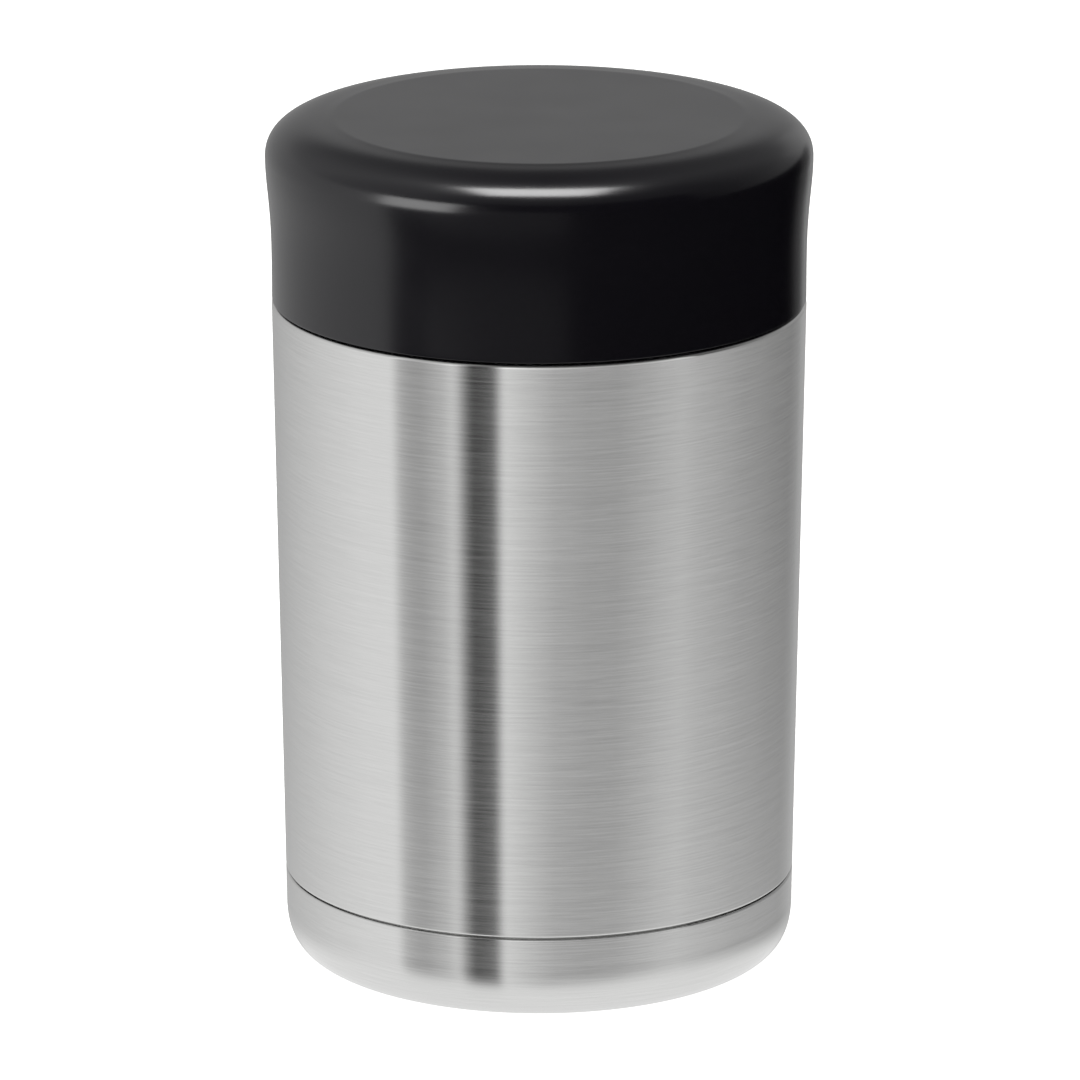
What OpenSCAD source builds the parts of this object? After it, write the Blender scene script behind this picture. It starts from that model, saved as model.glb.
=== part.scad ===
// Insulated food jar: a double-walled steel body, a screw-in stopper with a
// push valve, and a screw-on cup lid. All sizes are in millimetres, +Z is up,
// and the origin is the middle of the ring that the jar stands on.

/* [Steel body] */
// Height of the shoulder, where the shell turns in under the lid
body_h = 124.7; // [115:0.1:145]
// Diameter of the shell at its shoulder
shoulder_d = 97.9; // [90:0.1:107]
// How much narrower the shell is at the base cup's seam than at its shoulder
taper = 3.7; // [2:0.1:6]
// Thickness of the outer shell
shell_wall = 0.6; // [0.4:0.1:0.8]
// Rounding of the shell's top edge
shoulder_r = 1.6; // [1:0.1:2.5]
// Width of the shoulder's step, from the shell's side in to the neck
shoulder_w = 5.95; // [5.75:0.05:7]
// Height of the neck above the shoulder
neck_h = 18; // [16:0.5:24]
// Rounding at the foot of the neck
neck_fillet_r = 1.2; // [0.8:0.1:2]

/* [Base cup] */
// Height of the seam between the base cup and the shell
seam_h = 16.65; // [15.5:0.05:20]
// Gap between the base cup's edge and the shell's lip
seam_gap = 0.3; // [0.1:0.1:0.6]
// Rounding of the shell's lip above the seam
lip_r = 0.6; // [0.4:0.1:0.7]
// Size of the rounded bottom corner
corner_size = 11; // [9:0.5:12.5]
// Fullness of that corner, where 2 is a true circle
corner_fullness = 2.8; // [2:0.1:3.5]
// Thickness of the base cup
base_wall = 0.6; // [0.5:0.1:0.8]
// Width of the flat ring that the jar stands on
foot_w = 6; // [3:0.1:12]
// Depth of the recess underneath
recess_h = 2; // [1:0.25:3]

/* [Inner vessel] */
// Room from the vessel's bore out to the body's side at the seam
double_wall_w = 6.6; // [5.2:0.1:8]
// Thickness of the vessel
vessel_wall = 0.5; // [0.4:0.1:0.7]
// Height of the vessel's floor above the table
floor_h = 12.8; // [12.3:0.1:15]
// Rounding between the vessel's floor and its wall
floor_r = 9; // [6:0.5:14]
// Width of the rim that curls from the mouth over to the neck
rim_w = 3.5; // [3:0.1:4]
// Width of the ledge that the stopper seals on
ledge_w = 2.5; // [2.1:0.1:4.5]
// Depth of that ledge below the rim
seat_drop = 25; // [22:0.5:30]
// Height of the narrow land under the ledge
seat_land = 3; // [2:0.5:5]
// Height over which the wall widens again below the land
flare_h = 7; // [5:0.5:12]
// Rounding of the ledge's two corners
seat_r = 0.8; // [0.6:0.1:1]

/* [Vacuum space] */
// Height of the plate that closes the vacuum space
plate_h = 7.5; // [7:0.1:8]
// Thickness of that plate
plate_wall = 0.6; // [0.4:0.1:0.8]
// Rounding of the plate's rim
plate_r = 3; // [2:0.25:4]
// Height of the plate's rim, from its underside
plate_rim_h = 7.5; // [6:0.25:8.5]
// Diameter of the dimple that holds the seal bead
dimple_d = 16; // [12:0.5:18]
// Depth of the dimple
dimple_h = 1.2; // [0.8:0.1:1.5]
// Diameter of the hole that the air is drawn out through
vent_d = 2.4; // [1.6:0.1:3]
// Diameter of the seal bead's head
bead_d = 8; // [6:0.5:10]
// Thickness of the seal bead's head
bead_h = 0.8; // [0.5:0.1:1]
// Diameter of the getter pill
getter_d = 10; // [8:0.5:11]
// Thickness of the getter pill
getter_h = 2.2; // [1.5:0.1:2.4]
// Distance of the getter from the jar's axis
getter_x = 20; // [19:0.5:24]
// Width of the strip that holds the getter
clip_w = 5; // [3:0.5:7]
// Thickness of that strip
clip_t = 0.4; // [0.3:0.1:0.6]
// Length of each foot of the strip
clip_foot = 2.5; // [2:0.25:3]
// Thickness of the reflecting foil round the vessel
foil_t = 0.3; // [0.2:0.1:0.5]

/* [Stopper] */
// Thickness of the stopper's moulded walls
stopper_wall = 1.8; // [1.4:0.1:2.2]
// Thickness of the stopper's floor
stopper_floor = 2; // [1.6:0.1:2.6]
// Depth that the stopper reaches below its ledge
plug_drop = 6.5; // [5:0.5:8]
// Room round the plug below the ledge
plug_gap = 0.6; // [0.4:0.1:1]
// Room for the threads between the stopper and the mouth
stopper_thread_gap = 1.3; // [1:0.1:1.6]
// Height of the stopper's seal ring
seal_h = 3; // [2:0.25:4]
// Thickness of the flange that covers the rim
flange_h = 2.2; // [1.8:0.1:3]
// Depth of the finger recess, from the top of the flange
dish_depth = 9; // [7:0.5:10]
// Width of the grip bar across the recess
bar_w = 18; // [17.5:0.5:22]
// Height of the grip bar above the flange
bar_rise = 0.6; // [0.2:0.1:1.2]
// Rounding along the grip bar's top
bar_r = 2; // [1:0.25:3]
// Rise of the stopper in one turn of its thread
stopper_pitch = 4; // [3:0.25:5]

/* [Push valve] */
// Diameter of the button
button_d = 13; // [12:0.5:13.5]
// Height of the button above the grip bar
button_rise = 1.5; // [1.2:0.1:2.2]
// Thickness of the button's walls
button_wall = 1.2; // [1:0.1:1.4]
// Height of the button, from its skirt to its top
button_h = 6.3; // [5.5:0.1:6.8]
// How far the button goes down
button_travel = 2; // [1.5:0.1:2.4]
// Diameter of the valve's stem
stem_d = 4; // [3.4:0.1:4.2]
// Running gap between the stem and its guide
stem_fit = 0.06; // [0.02:0.01:0.1]
// Diameter of the guide round the stem
guide_d = 7; // [6.8:0.1:7.4]
// Height of the guide above the bottom of the button's pocket
guide_h = 3.6; // [2.5:0.1:4]
// Width of the slots in the guide that let steam past the stem
vent_slot_w = 1.2; // [0.8:0.1:1.6]
// Width of the steam passage round the stem
passage_w = 1.2; // [1:0.1:1.4]
// Diameter of the recess over the valve's head
valve_recess_d = 16; // [15:0.5:18]
// Depth of that recess
valve_recess_h = 4; // [3.8:0.1:5]
// Diameter of the valve's head
head_d = 11; // [9:0.5:12]
// Thickness of the valve's head
head_h = 1.3; // [1:0.1:1.5]
// Diameter of the valve's seal
valve_seal_d = 12.4; // [11:0.2:13.4]
// Thickness of the valve's seal
valve_seal_h = 1.8; // [1.4:0.1:2]
// Diameter of the spring's wire
wire_d = 0.6; // [0.4:0.05:0.6]
// Turns in the spring
spring_turns = 6; // [4:1:8]

/* [Cup lid] */
// How far the lid's lower edge is set in from the shell's side
lid_inset = 0.05; // [0:0.05:0.5]
// How far the lid flares out from its lower edge
lid_flare = 1.1; // [0.5:0.1:2.5]
// Width of the rounded crown, from the widest line in to the flat disc
crown_w = 12.6; // [9:0.1:16]
// Height of the rounded crown, from the widest line to the top
crown_h = 7.4; // [6:0.1:9]
// Fullness of the crown, where 2 is a true ellipse
crown_fullness = 2.35; // [2:0.05:2.8]
// Thickness of the lid's outer wall
lid_wall = 2; // [1.6:0.1:2.2]
// Rounding of the lid's lower edge
lid_edge_r = 0.5; // [0.2:0.1:0.8]
// Gap between the lid's lower edge and the shoulder
lid_gap = 0.4; // [0.3:0.1:0.8]
// Thickness of the cup inside the lid
liner_wall = 1.6; // [1.2:0.1:1.6]
// Rounding between the cup's wall and its end
liner_r = 3; // [2:0.25:4]
// Height of the cup's foot, where it is welded to the outer wall
liner_foot_h = 3; // [2:0.25:5]
// Room for the threads between the neck and the cup
lid_thread_gap = 1.6; // [1.2:0.1:1.6]
// Room between the button and the end of the cup
lid_head_room = 0.9; // [0.5:0.1:2]
// Thickness of the lid's foam disc
lid_foam_h = 2.6; // [1.5:0.1:5]
// Thickness of the lid's sealing ring
gasket_h = 2.2; // [1.5:0.1:2.4]
// Width of the lid's sealing ring
gasket_w = 4; // [3:0.25:6]
// Rise of the lid in one turn of its thread
lid_pitch = 4; // [3:0.25:5]

/* [Fits] */
// Gap between pieces that move apart
part_gap = 0.3; // [0.2:0.05:0.4]
// Gap between pieces that are pressed or welded together
joint_gap = 0.05; // [0.02:0.01:0.08]

/* [Hidden] */
$fn = 128;

steel = "#c6c6c4";
dull_steel = "#a9a9a6";
copper = "#b8754a";
black_plastic = "#1e1d21";
grey_plastic = "#4a4a4d";
silicone = "#d9d9d4";
foam = "#ece8dc";

// Radii and heights of the body
shoulder_z = body_h;
rim_z = body_h + neck_h;
shoulder_side_r = shoulder_d / 2;
seam_side_r = shoulder_side_r - taper / 2;
neck_r = shoulder_side_r - shoulder_w;
mouth_r = neck_r - rim_w;
ledge_r = mouth_r - ledge_w;
bore_r = seam_side_r - double_wall_w;
ledge_z = rim_z - seat_drop;
flare_z = ledge_z - seat_land - flare_h;
lip_z = seam_h + seam_gap / 2;
cup_top_z = seam_h - seam_gap / 2;
skirt_z = corner_size;
skirt_r = body_r(skirt_z) - base_wall - joint_gap;
rim_r = rim_w / 2;
rim_seam_z = rim_z - 2 * rim_r;
vessel_under_z = floor_h - vessel_wall;
plate_rim_r = skirt_r - shell_wall - joint_gap;
plate_top_z = plate_h + plate_wall;

// Heights and radii of the stopper, from the rim and the ledge
flange_z = rim_z + part_gap;
flange_top_z = flange_z + flange_h;
bar_top_z = flange_top_z + bar_rise;
dish_z = flange_top_z - dish_depth;
dish_under_z = dish_z - stopper_wall;
stopper_z = ledge_z - plug_drop;
stopper_floor_z = stopper_z + stopper_floor;
plug_r = ledge_r - plug_gap;
core_r = mouth_r - stopper_thread_gap;
core_z = ledge_z + seal_h + 2 * part_gap;
dish_wall_r = core_r - stopper_wall - joint_gap;
dish_r = dish_wall_r - stopper_wall;
recess_top_z = stopper_z + valve_recess_h;
recess_over_z = recess_top_z + stopper_floor;
recess_wall_r = valve_recess_d / 2 + stopper_wall;

// Heights and radii of the valve
stem_r = stem_d / 2;
passage_r = stem_r + passage_w;
tube_r = passage_r + stopper_wall;
button_r = button_d / 2;
button_top_z = bar_top_z + button_rise;
button_under_z = button_top_z - button_wall;
skirt_end_z = button_top_z - button_h;
pocket_r = button_r + part_gap;
pocket_z = skirt_end_z - button_travel - 5 * part_gap;
guide_top_z = pocket_z + guide_h;
hub_r = guide_d / 2;
hub_z = guide_top_z + button_travel + part_gap;
stem_top_z = button_top_z - button_wall / 2;
seal_top_z = recess_top_z - part_gap;
head_top_z = seal_top_z - valve_seal_h - joint_gap;
spring_r = (button_r - button_wall + guide_d / 2) / 2;

// Heights and radii of the lid, from the shoulder and the button
lid_z = shoulder_z + lid_gap;
cup_end_z = button_top_z + lid_head_room;
cup_over_z = cup_end_z + liner_wall;
lid_foam_z = cup_over_z + part_gap + lid_pitch;
lid_top_z = lid_foam_z + lid_foam_h + part_gap + lid_wall;
widest_z = lid_top_z - crown_h;
lid_foot_r = shoulder_side_r - lid_inset;
lid_wide_r = lid_foot_r + lid_flare;
lid_flat_r = lid_wide_r - crown_w;
cup_r = neck_r + lid_thread_gap;
cup_outer_r = cup_r + liner_wall;

// Radius of the tapered body at a height
function body_r(z) =
    seam_side_r + (shoulder_side_r - seam_side_r) * (z - seam_h) / (body_h - seam_h);

// Points along an arc about a centre, from one angle to another
function arc(centre, r, from, to, steps = 6) = [
    for (i = [0:steps]) let (a = from + (to - from) * i / steps)
        centre + r * [cos(a), sin(a)]
];

// A quarter of a superellipse, from straight out of the centre's side to its end
function full_corner(centre, width, height, fullness, steps = 12) = [
    for (i = [0:steps]) let (a = 90 * i / steps)
        centre + [width * pow(cos(a), 2 / fullness), height * pow(sin(a), 2 / fullness)]
];

function backwards(points) = [for (i = [len(points) - 1:-1:0]) points[i]];

// The unit vector to the left of the way from one point to the next
function left_of(a, b) = let (way = (b - a) / norm(b - a)) [-way[1], way[0]];

// A path moved to its left by a wall's thickness, with mitred corners
function moved_left(path, wall) = [
    for (i = [0:len(path) - 1])
        let (
            last = len(path) - 1,
            before = left_of(path[max(i - 1, 0)], path[max(i, 1)]),
            after = left_of(path[min(i, last - 1)], path[min(i + 1, last)])
        )
        path[i] + wall * (before + after) / (1 + before * after)
];

module turned(outline) {
    rotate_extrude() polygon(outline);
}

// Sheet metal: a wall of even thickness to the left of a path, turned about the axis
module turned_sheet(path, wall) {
    turned(concat(path, backwards(moved_left(path, wall))));
}

module ring(inner_r, outer_r, low_z, high_z) {
    turned([[inner_r, low_z], [outer_r, low_z], [outer_r, high_z], [inner_r, high_z]]);
}

module disc(r, low_z, high_z) {
    translate([0, 0, low_z]) cylinder(r = r, h = high_z - low_z);
}

// ---- Steel body ----

// Tapered outer shell, with a stepped skirt inside the base cup, a rolled lip
// over the seam, a shoulder under the lid and the neck that carries its thread
module outer_shell() {
    lip_centre = [body_r(lip_z + lip_r) - lip_r, lip_z + lip_r];
    shoulder_centre = [shoulder_side_r - shoulder_r, shoulder_z - shoulder_r];
    fillet_centre = [neck_r, shoulder_z] + neck_fillet_r * [1, 1];
    outside = concat(
        [[skirt_r, skirt_z], [skirt_r, lip_z]],
        arc(lip_centre, lip_r, -90, 0),
        arc(shoulder_centre, shoulder_r, 0, 90),
        arc(fillet_centre, neck_fillet_r, -90, -180),
        [[neck_r, rim_seam_z]]
    );
    inside = concat(
        [[skirt_r - shell_wall, skirt_z], [skirt_r - shell_wall, lip_z + shell_wall]],
        [[body_r(lip_z + lip_r) - shell_wall, lip_z + shell_wall + lip_r]],
        arc(shoulder_centre, shoulder_r - shell_wall, 0, 90),
        arc(fillet_centre, neck_fillet_r + shell_wall, -90, -180),
        [[neck_r - shell_wall, rim_seam_z]]
    );
    color(steel) turned(concat(outside, backwards(inside)));
}

// Deep-drawn vessel: flat floor, full bore, a rolled-in ledge for the stopper's
// seal, the mouth, and a rim that curls over to meet the neck
module inner_vessel() {
    widening = [
        for (i = [0:8]) let (share = (1 + cos(180 * i / 8)) / 2)
            [ledge_r + (bore_r - ledge_r) * share, flare_z + flare_h * i / 8]
    ];
    inside = concat(
        [[0, floor_h]],
        arc([bore_r - floor_r, floor_h + floor_r], floor_r, -90, 0, 10),
        widening,
        arc([ledge_r, ledge_z] + seat_r * [1, -1], seat_r, 180, 90, 4),
        arc([mouth_r, ledge_z] + seat_r * [-1, 1], seat_r, -90, 0, 4),
        arc([mouth_r + rim_r, rim_z - rim_r], rim_r, 180, 0, 12),
        [[neck_r, rim_seam_z]]
    );
    color(dull_steel) turned_sheet(inside, -vessel_wall);
}

// Pan-shaped plate that closes the vacuum space, with a dimple round its vent
module vacuum_plate() {
    dimple_r = dimple_d / 2;
    underside = concat(
        [[vent_d / 2, plate_h + dimple_h], [dimple_r - dimple_h, plate_h + dimple_h]],
        [[dimple_r, plate_h]],
        arc([plate_rim_r - plate_r, plate_h + plate_r], plate_r, -90, 0),
        [[plate_rim_r, plate_h + plate_rim_h]]
    );
    color(dull_steel) turned_sheet(underside, plate_wall);
}

// Bead of sealing glass that stops the vent, with a stub up into the hole
module seal_bead() {
    top_z = plate_h + dimple_h - joint_gap;
    head_edge = bead_h / 2;
    color("#6f7a74") turned(concat(
        [[0, top_z - bead_h]],
        arc([bead_d / 2 - head_edge, top_z - head_edge], head_edge, -90, 90),
        [[vent_d / 2 - joint_gap, top_z]],
        [[vent_d / 2 - joint_gap, top_z + plate_wall], [0, top_z + plate_wall]]
    ));
}

// Pill that keeps the vacuum clean, held against the underside of the vessel
module getter() {
    color("#7d7d80") translate([getter_x, 0, 0])
        disc(getter_d / 2, vessel_under_z - joint_gap - getter_h, vessel_under_z - joint_gap);
}

// Bent strip, spot-welded to the vessel by its two feet, that carries the pill
module getter_clip() {
    arm_x = getter_d / 2 + part_gap;
    bridge_top_z = vessel_under_z - getter_h - 2 * joint_gap;
    strip = [
        [-arm_x - clip_foot, vessel_under_z], [-arm_x, vessel_under_z],
        [-arm_x, bridge_top_z], [arm_x, bridge_top_z],
        [arm_x, vessel_under_z], [arm_x + clip_foot, vessel_under_z]
    ];
    color(dull_steel) translate([getter_x, clip_w / 2, 0]) rotate([90, 0, 0])
        linear_extrude(clip_w) polygon(concat(strip, backwards(moved_left(strip, -clip_t))));
}

// Copper foil that turns heat back, wrapped round the straight of the vessel
module radiation_foil() {
    foil_r = bore_r + vessel_wall + part_gap;
    color(copper) ring(foil_r, foil_r + foil_t, floor_h + floor_r, flare_z - part_gap);
}

// Pressed cup over the shell's skirt, with a full rounded corner, a flat ring to
// stand on and a shallow recess inside the ring
module base_cup() {
    wall_r = body_r(corner_size);
    recess_r = wall_r - corner_size - foot_w;
    corner = full_corner([wall_r - corner_size, corner_size], corner_size, -corner_size,
        corner_fullness);
    outside = concat(
        [[0, recess_h], [recess_r - recess_h, recess_h], [recess_r, 0]],
        backwards(corner),
        [[body_r(cup_top_z), cup_top_z]]
    );
    color(steel) turned_sheet(outside, base_wall);
}

// ---- Stopper ----

// Moulded plug: a cup with a stepped wall that takes the thread and the seal, a
// recess over the valve's head, and a tube for the stem
module stopper_body() {
    top_z = flange_z - joint_gap;
    edge_r = stopper_floor / 2;
    outside = concat(
        [[passage_r, recess_top_z], [valve_recess_d / 2, recess_top_z]],
        [[valve_recess_d / 2, stopper_z]],
        arc([plug_r - edge_r, stopper_z + edge_r], edge_r, -90, 0),
        [[plug_r, core_z], [core_r, core_z], [core_r, top_z]]
    );
    inside = [
        [core_r - stopper_wall, top_z], [core_r - stopper_wall, core_z + stopper_wall],
        [plug_r - stopper_wall, core_z], [plug_r - stopper_wall, stopper_floor_z],
        [recess_wall_r, stopper_floor_z], [recess_wall_r, recess_over_z],
        [tube_r, recess_over_z], [tube_r, dish_under_z - joint_gap],
        [passage_r, dish_under_z - joint_gap]
    ];
    color(grey_plastic) turned(concat(outside, inside));
}

// The grip bar's solid, along X and cut round to the recess's wall
module grip_bar(width, top_z, round_r, reach_r) {
    intersection() {
        rotate([90, 0, 90]) linear_extrude(2 * reach_r, center = true)
            polygon(concat(
                [[-width / 2, dish_under_z], [width / 2, dish_under_z]],
                arc([width / 2 - round_r, top_z - round_r], round_r, 0, 90),
                arc([round_r - width / 2, top_z - round_r], round_r, 90, 180)
            ));
        disc(reach_r, dish_under_z, top_z);
    }
}

// Cover: the flange over the rim, a dished finger recess, a hollow grip bar
// across it, and the button's pocket with the stem's guide
module stopper_cover() {
    edge_r = flange_h / 3;
    dish = concat(
        [[0, dish_under_z], [dish_wall_r, dish_under_z], [dish_wall_r, flange_z]],
        [[neck_r, flange_z]],
        arc([neck_r - edge_r, flange_top_z - edge_r], edge_r, 0, 90),
        [[dish_r, flange_top_z], [dish_r, dish_z], [0, dish_z]]
    );
    color(grey_plastic) difference() {
        union() {
            difference() {
                union() {
                    turned(dish);
                    grip_bar(bar_w, bar_top_z, bar_r, dish_wall_r);
                }
                // The bar is hollow from below
                translate([0, 0, -stopper_wall])
                    grip_bar(bar_w - 2 * stopper_wall, bar_top_z, bar_r / 2,
                        dish_r - stopper_wall);
            }
            disc(pocket_r + stopper_wall, dish_under_z, bar_top_z);
        }
        disc(pocket_r, guide_top_z, bar_top_z + 1);
        ring(guide_d / 2, pocket_r, pocket_z, guide_top_z + 1);
        disc(stem_r + stem_fit, dish_under_z - 1, guide_top_z + 1);
        vent_reach = 2 * (guide_d / 2 - 0.4);
        translate([-vent_reach / 2, -vent_slot_w / 2, dish_under_z - 1])
            cube([vent_reach, vent_slot_w, guide_top_z - dish_under_z + 2]);
    }
}

// Foam block sealed inside the plug, round the stem's tube
module stopper_foam() {
    clear_h = part_gap + stopper_pitch;
    inner_r = tube_r + part_gap;
    step_r = recess_wall_r + part_gap;
    outer_r = plug_r - stopper_wall - part_gap;
    top_z = dish_under_z - part_gap;
    color(foam) turned([
        [inner_r, recess_over_z + clear_h], [step_r, recess_over_z + clear_h],
        [step_r, stopper_floor_z + clear_h], [outer_r, stopper_floor_z + clear_h],
        [outer_r, top_z], [inner_r, top_z]
    ]);
}

// Silicone ring on the plug, over the vessel's ledge, with a rounded rim
module stopper_seal() {
    low_z = ledge_z + part_gap;
    outer_r = mouth_r - part_gap;
    bulge_r = seal_h / 3;
    color(silicone) turned(concat(
        [[plug_r + joint_gap, low_z], [outer_r - bulge_r, low_z]],
        arc([outer_r - bulge_r, low_z + bulge_r], bulge_r, -90, 0),
        arc([outer_r - bulge_r, low_z + seal_h - bulge_r], bulge_r, 0, 90),
        [[plug_r + joint_gap, low_z + seal_h]]
    ));
}

// ---- Push valve ----

// Stem with the head that carries the seal; its top is pressed into the button
module valve_stem() {
    color(grey_plastic) {
        disc(stem_r, head_top_z - head_h, stem_top_z);
        disc(head_d / 2, head_top_z - head_h, head_top_z);
    }
}

// Button: a cap with a skirt that slides in its pocket and a hub for the stem
module valve_button() {
    edge_r = button_wall * 0.8;
    color(black_plastic) turned(concat(
        [[stem_r + joint_gap, hub_z], [hub_r, hub_z], [hub_r, button_under_z]],
        [[button_r - button_wall, button_under_z], [button_r - button_wall, skirt_end_z]],
        [[button_r, skirt_end_z]],
        arc([button_r - edge_r, button_top_z - edge_r], edge_r, 0, 90),
        [[0, button_top_z], [0, stem_top_z + joint_gap]],
        [[stem_r + joint_gap, stem_top_z + joint_gap]]
    ));
}

// Silicone washer that the stem draws up against the plug
module valve_seal() {
    edge_r = valve_seal_h / 4;
    color(silicone) turned(concat(
        [[stem_r + joint_gap, seal_top_z - valve_seal_h]],
        arc([valve_seal_d / 2 - edge_r, seal_top_z - valve_seal_h + edge_r], edge_r, -90, 0, 3),
        arc([valve_seal_d / 2 - edge_r, seal_top_z - edge_r], edge_r, 0, 90, 3),
        [[stem_r + joint_gap, seal_top_z]]
    ));
}

// Coil spring between the pocket's floor and the button
module valve_spring() {
    sides = 6;
    rings_a_turn = 14;
    rings = spring_turns * rings_a_turn;
    wire_r = wire_d / 2;
    low_z = pocket_z + joint_gap + wire_r;
    rise = button_under_z - joint_gap - wire_r - low_z;
    echo(gap_between_spring_turns = rise / spring_turns - wire_d);
    points = [
        for (i = [0:rings], j = [0:sides - 1])
            let (a = 360 * i / rings_a_turn, b = 360 * j / sides, r = spring_r + wire_r * cos(b))
            [r * cos(a), r * sin(a), low_z + rise * i / rings + wire_r * sin(b)]
    ];
    walls = [
        for (i = [0:rings - 1], j = [0:sides - 1], half = [0, 1])
            let (a = i * sides + j, b = i * sides + (j + 1) % sides)
            half == 0 ? [a, b, a + sides] : [b, b + sides, a + sides]
    ];
    start_cap = [for (j = [1:sides - 2]) [0, j + 1, j]];
    last = rings * sides;
    end_cap = [for (j = [1:sides - 2]) [last, last + j, last + j + 1]];
    color(dull_steel) polyhedron(points, concat(walls, start_cap, end_cap));
}

// ---- Cup lid ----

// Radius of the lid's side at a height: upright at its foot, then flaring out
function lid_side_r(z) =
    let (share = (z - lid_z) / (widest_z - lid_z))
    lid_foot_r + (lid_wide_r - lid_foot_r) * pow(sin(90 * share * share), 2);

// Outer wall of the lid: a flared side, a full rounded crown and a flat top
module lid_shell() {
    steps = 14;
    side_z = [for (i = [1:steps - 1]) lid_z + (widest_z - lid_z) * i / steps];
    outside = concat(
        arc([lid_foot_r - lid_edge_r, lid_z + lid_edge_r], lid_edge_r, -90, 0, 4),
        [for (z = side_z) [lid_side_r(z), z]],
        full_corner([lid_flat_r, widest_z], lid_wide_r - lid_flat_r, crown_h,
            crown_fullness, 16),
        [[0, lid_top_z]]
    );
    inner_flat_r = lid_flat_r - lid_wall / 2;
    inside = concat(
        [[lid_foot_r - lid_wall, lid_z]],
        [for (z = side_z) [lid_side_r(z) - lid_wall, z]],
        full_corner([inner_flat_r, widest_z], lid_wide_r - lid_wall - inner_flat_r,
            crown_h - lid_wall, crown_fullness, 16),
        [[0, lid_top_z - lid_wall]]
    );
    color(black_plastic) turned(concat(outside, backwards(inside)));
}

// Cup inside the lid, which takes the thread and is eaten from: its foot is
// welded to the outer wall, and a bead in its wall keeps the sealing ring in
module lid_cup() {
    bead_r = part_gap + joint_gap;
    bead_z = cup_end_z - gasket_h - 3 * part_gap - bead_r;
    foot_r = lid_foot_r - lid_wall - joint_gap;
    outside = concat(
        [[foot_r, lid_z], [foot_r, lid_z + liner_foot_h]],
        [[cup_outer_r, lid_z + liner_foot_h]],
        arc([cup_outer_r - liner_r, cup_over_z - liner_r], liner_r, 0, 90),
        [[0, cup_over_z]]
    );
    inside = concat(
        [[cup_r, lid_z]],
        arc([cup_r, bead_z], bead_r, -90, -270, 6),
        arc([cup_r - liner_r / 2, cup_end_z - liner_r / 2], liner_r / 2, 0, 90),
        [[0, cup_end_z]]
    );
    color(black_plastic) turned(concat(outside, backwards(inside)));
}

// Foam disc fixed under the lid's flat top
module lid_foam() {
    color(foam) disc(lid_flat_r + 1, lid_foam_z, lid_foam_z + lid_foam_h);
}

// Silicone ring in the end of the cup, which presses on the stopper's flange
module lid_gasket() {
    outer_r = cup_r - part_gap;
    high_z = cup_end_z - part_gap;
    color(silicone) turned([
        [outer_r - gasket_w, high_z - gasket_h], [outer_r, high_z - gasket_h],
        [outer_r, high_z - liner_r / 2], [outer_r - liner_r / 2, high_z],
        [outer_r - gasket_w, high_z]
    ]);
}

outer_shell();
inner_vessel();
vacuum_plate();
seal_bead();
getter();
getter_clip();
radiation_foil();
base_cup();
stopper_body();
stopper_cover();
stopper_foam();
stopper_seal();
valve_stem();
valve_button();
valve_seal();
valve_spring();
lid_shell();
lid_cup();
lid_foam();
lid_gasket();
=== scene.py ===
"""Insulated food jar: the finish, fine shapes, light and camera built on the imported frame."""
import math

import bmesh
import bpy
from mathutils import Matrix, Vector


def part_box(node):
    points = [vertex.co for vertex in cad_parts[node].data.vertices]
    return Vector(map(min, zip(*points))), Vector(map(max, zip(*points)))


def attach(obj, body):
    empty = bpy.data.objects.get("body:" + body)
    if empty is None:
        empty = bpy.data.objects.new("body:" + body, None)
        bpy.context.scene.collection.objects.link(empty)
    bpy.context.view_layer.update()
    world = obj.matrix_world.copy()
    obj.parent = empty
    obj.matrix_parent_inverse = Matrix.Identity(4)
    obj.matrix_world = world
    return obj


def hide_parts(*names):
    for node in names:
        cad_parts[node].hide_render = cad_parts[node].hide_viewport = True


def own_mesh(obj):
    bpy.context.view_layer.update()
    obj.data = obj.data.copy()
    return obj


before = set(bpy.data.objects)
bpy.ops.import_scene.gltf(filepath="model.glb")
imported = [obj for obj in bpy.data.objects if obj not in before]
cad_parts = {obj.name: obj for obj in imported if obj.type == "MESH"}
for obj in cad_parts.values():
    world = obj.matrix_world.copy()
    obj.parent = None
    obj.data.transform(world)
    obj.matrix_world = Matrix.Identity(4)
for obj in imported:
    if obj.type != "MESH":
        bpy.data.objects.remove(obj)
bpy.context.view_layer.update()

bl_info = {
    "name": "Insulated Food Jar",
    "version": (1, 0, 0),
    "blender": (4, 5, 0),
    "location": "3D View > Sidebar > Food Jar",
    "description": "Builds the finished surfaces of an insulated food jar on its packed parts",
    "category": "Object",
}

MM = 0.001
TURN = 2 * math.pi
# Facets round a turned piece, round the lid's casing, and round the valve and its pocket
ROUND_STEPS = 192
LID_STEPS = 256
SMALL_STEPS = 96
# Edges sharper than this stay sharp
SHARP_ANGLE = math.radians(38)
# Points closer to the axis than this lie on it
ON_AXIS = 0.001 * MM
# Points closer to a threaded wall than this lie on it
ON_WALL = 0.01 * MM
# Gap between pieces that are welded or pressed together
JOINT_GAP = 0.05 * MM
# Straight wall between a corner and the first row of a threaded wall
ROW_START = 0.1 * MM
# Rows for each pitch on a threaded wall, and how many turns each thread has
THREAD_ROWS = 14
THREAD_TURNS = 2.0
# Share of a turn over which a ridge runs out at each end
THREAD_FADE = 20 / 360
# Slope of a ridge's flanks; above 1 leaves a flat crest
THREAD_FLANK = 1.8
# Ridge heights in the mouth and on the stopper, as shares of the thread's depth
MOUTH_SHARE = 0.62
STOPPER_SHARE = 0.72
# A quarter turn, so that the highlights of the brushing run up and down
ACROSS_THE_GRAIN = 0.25
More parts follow.
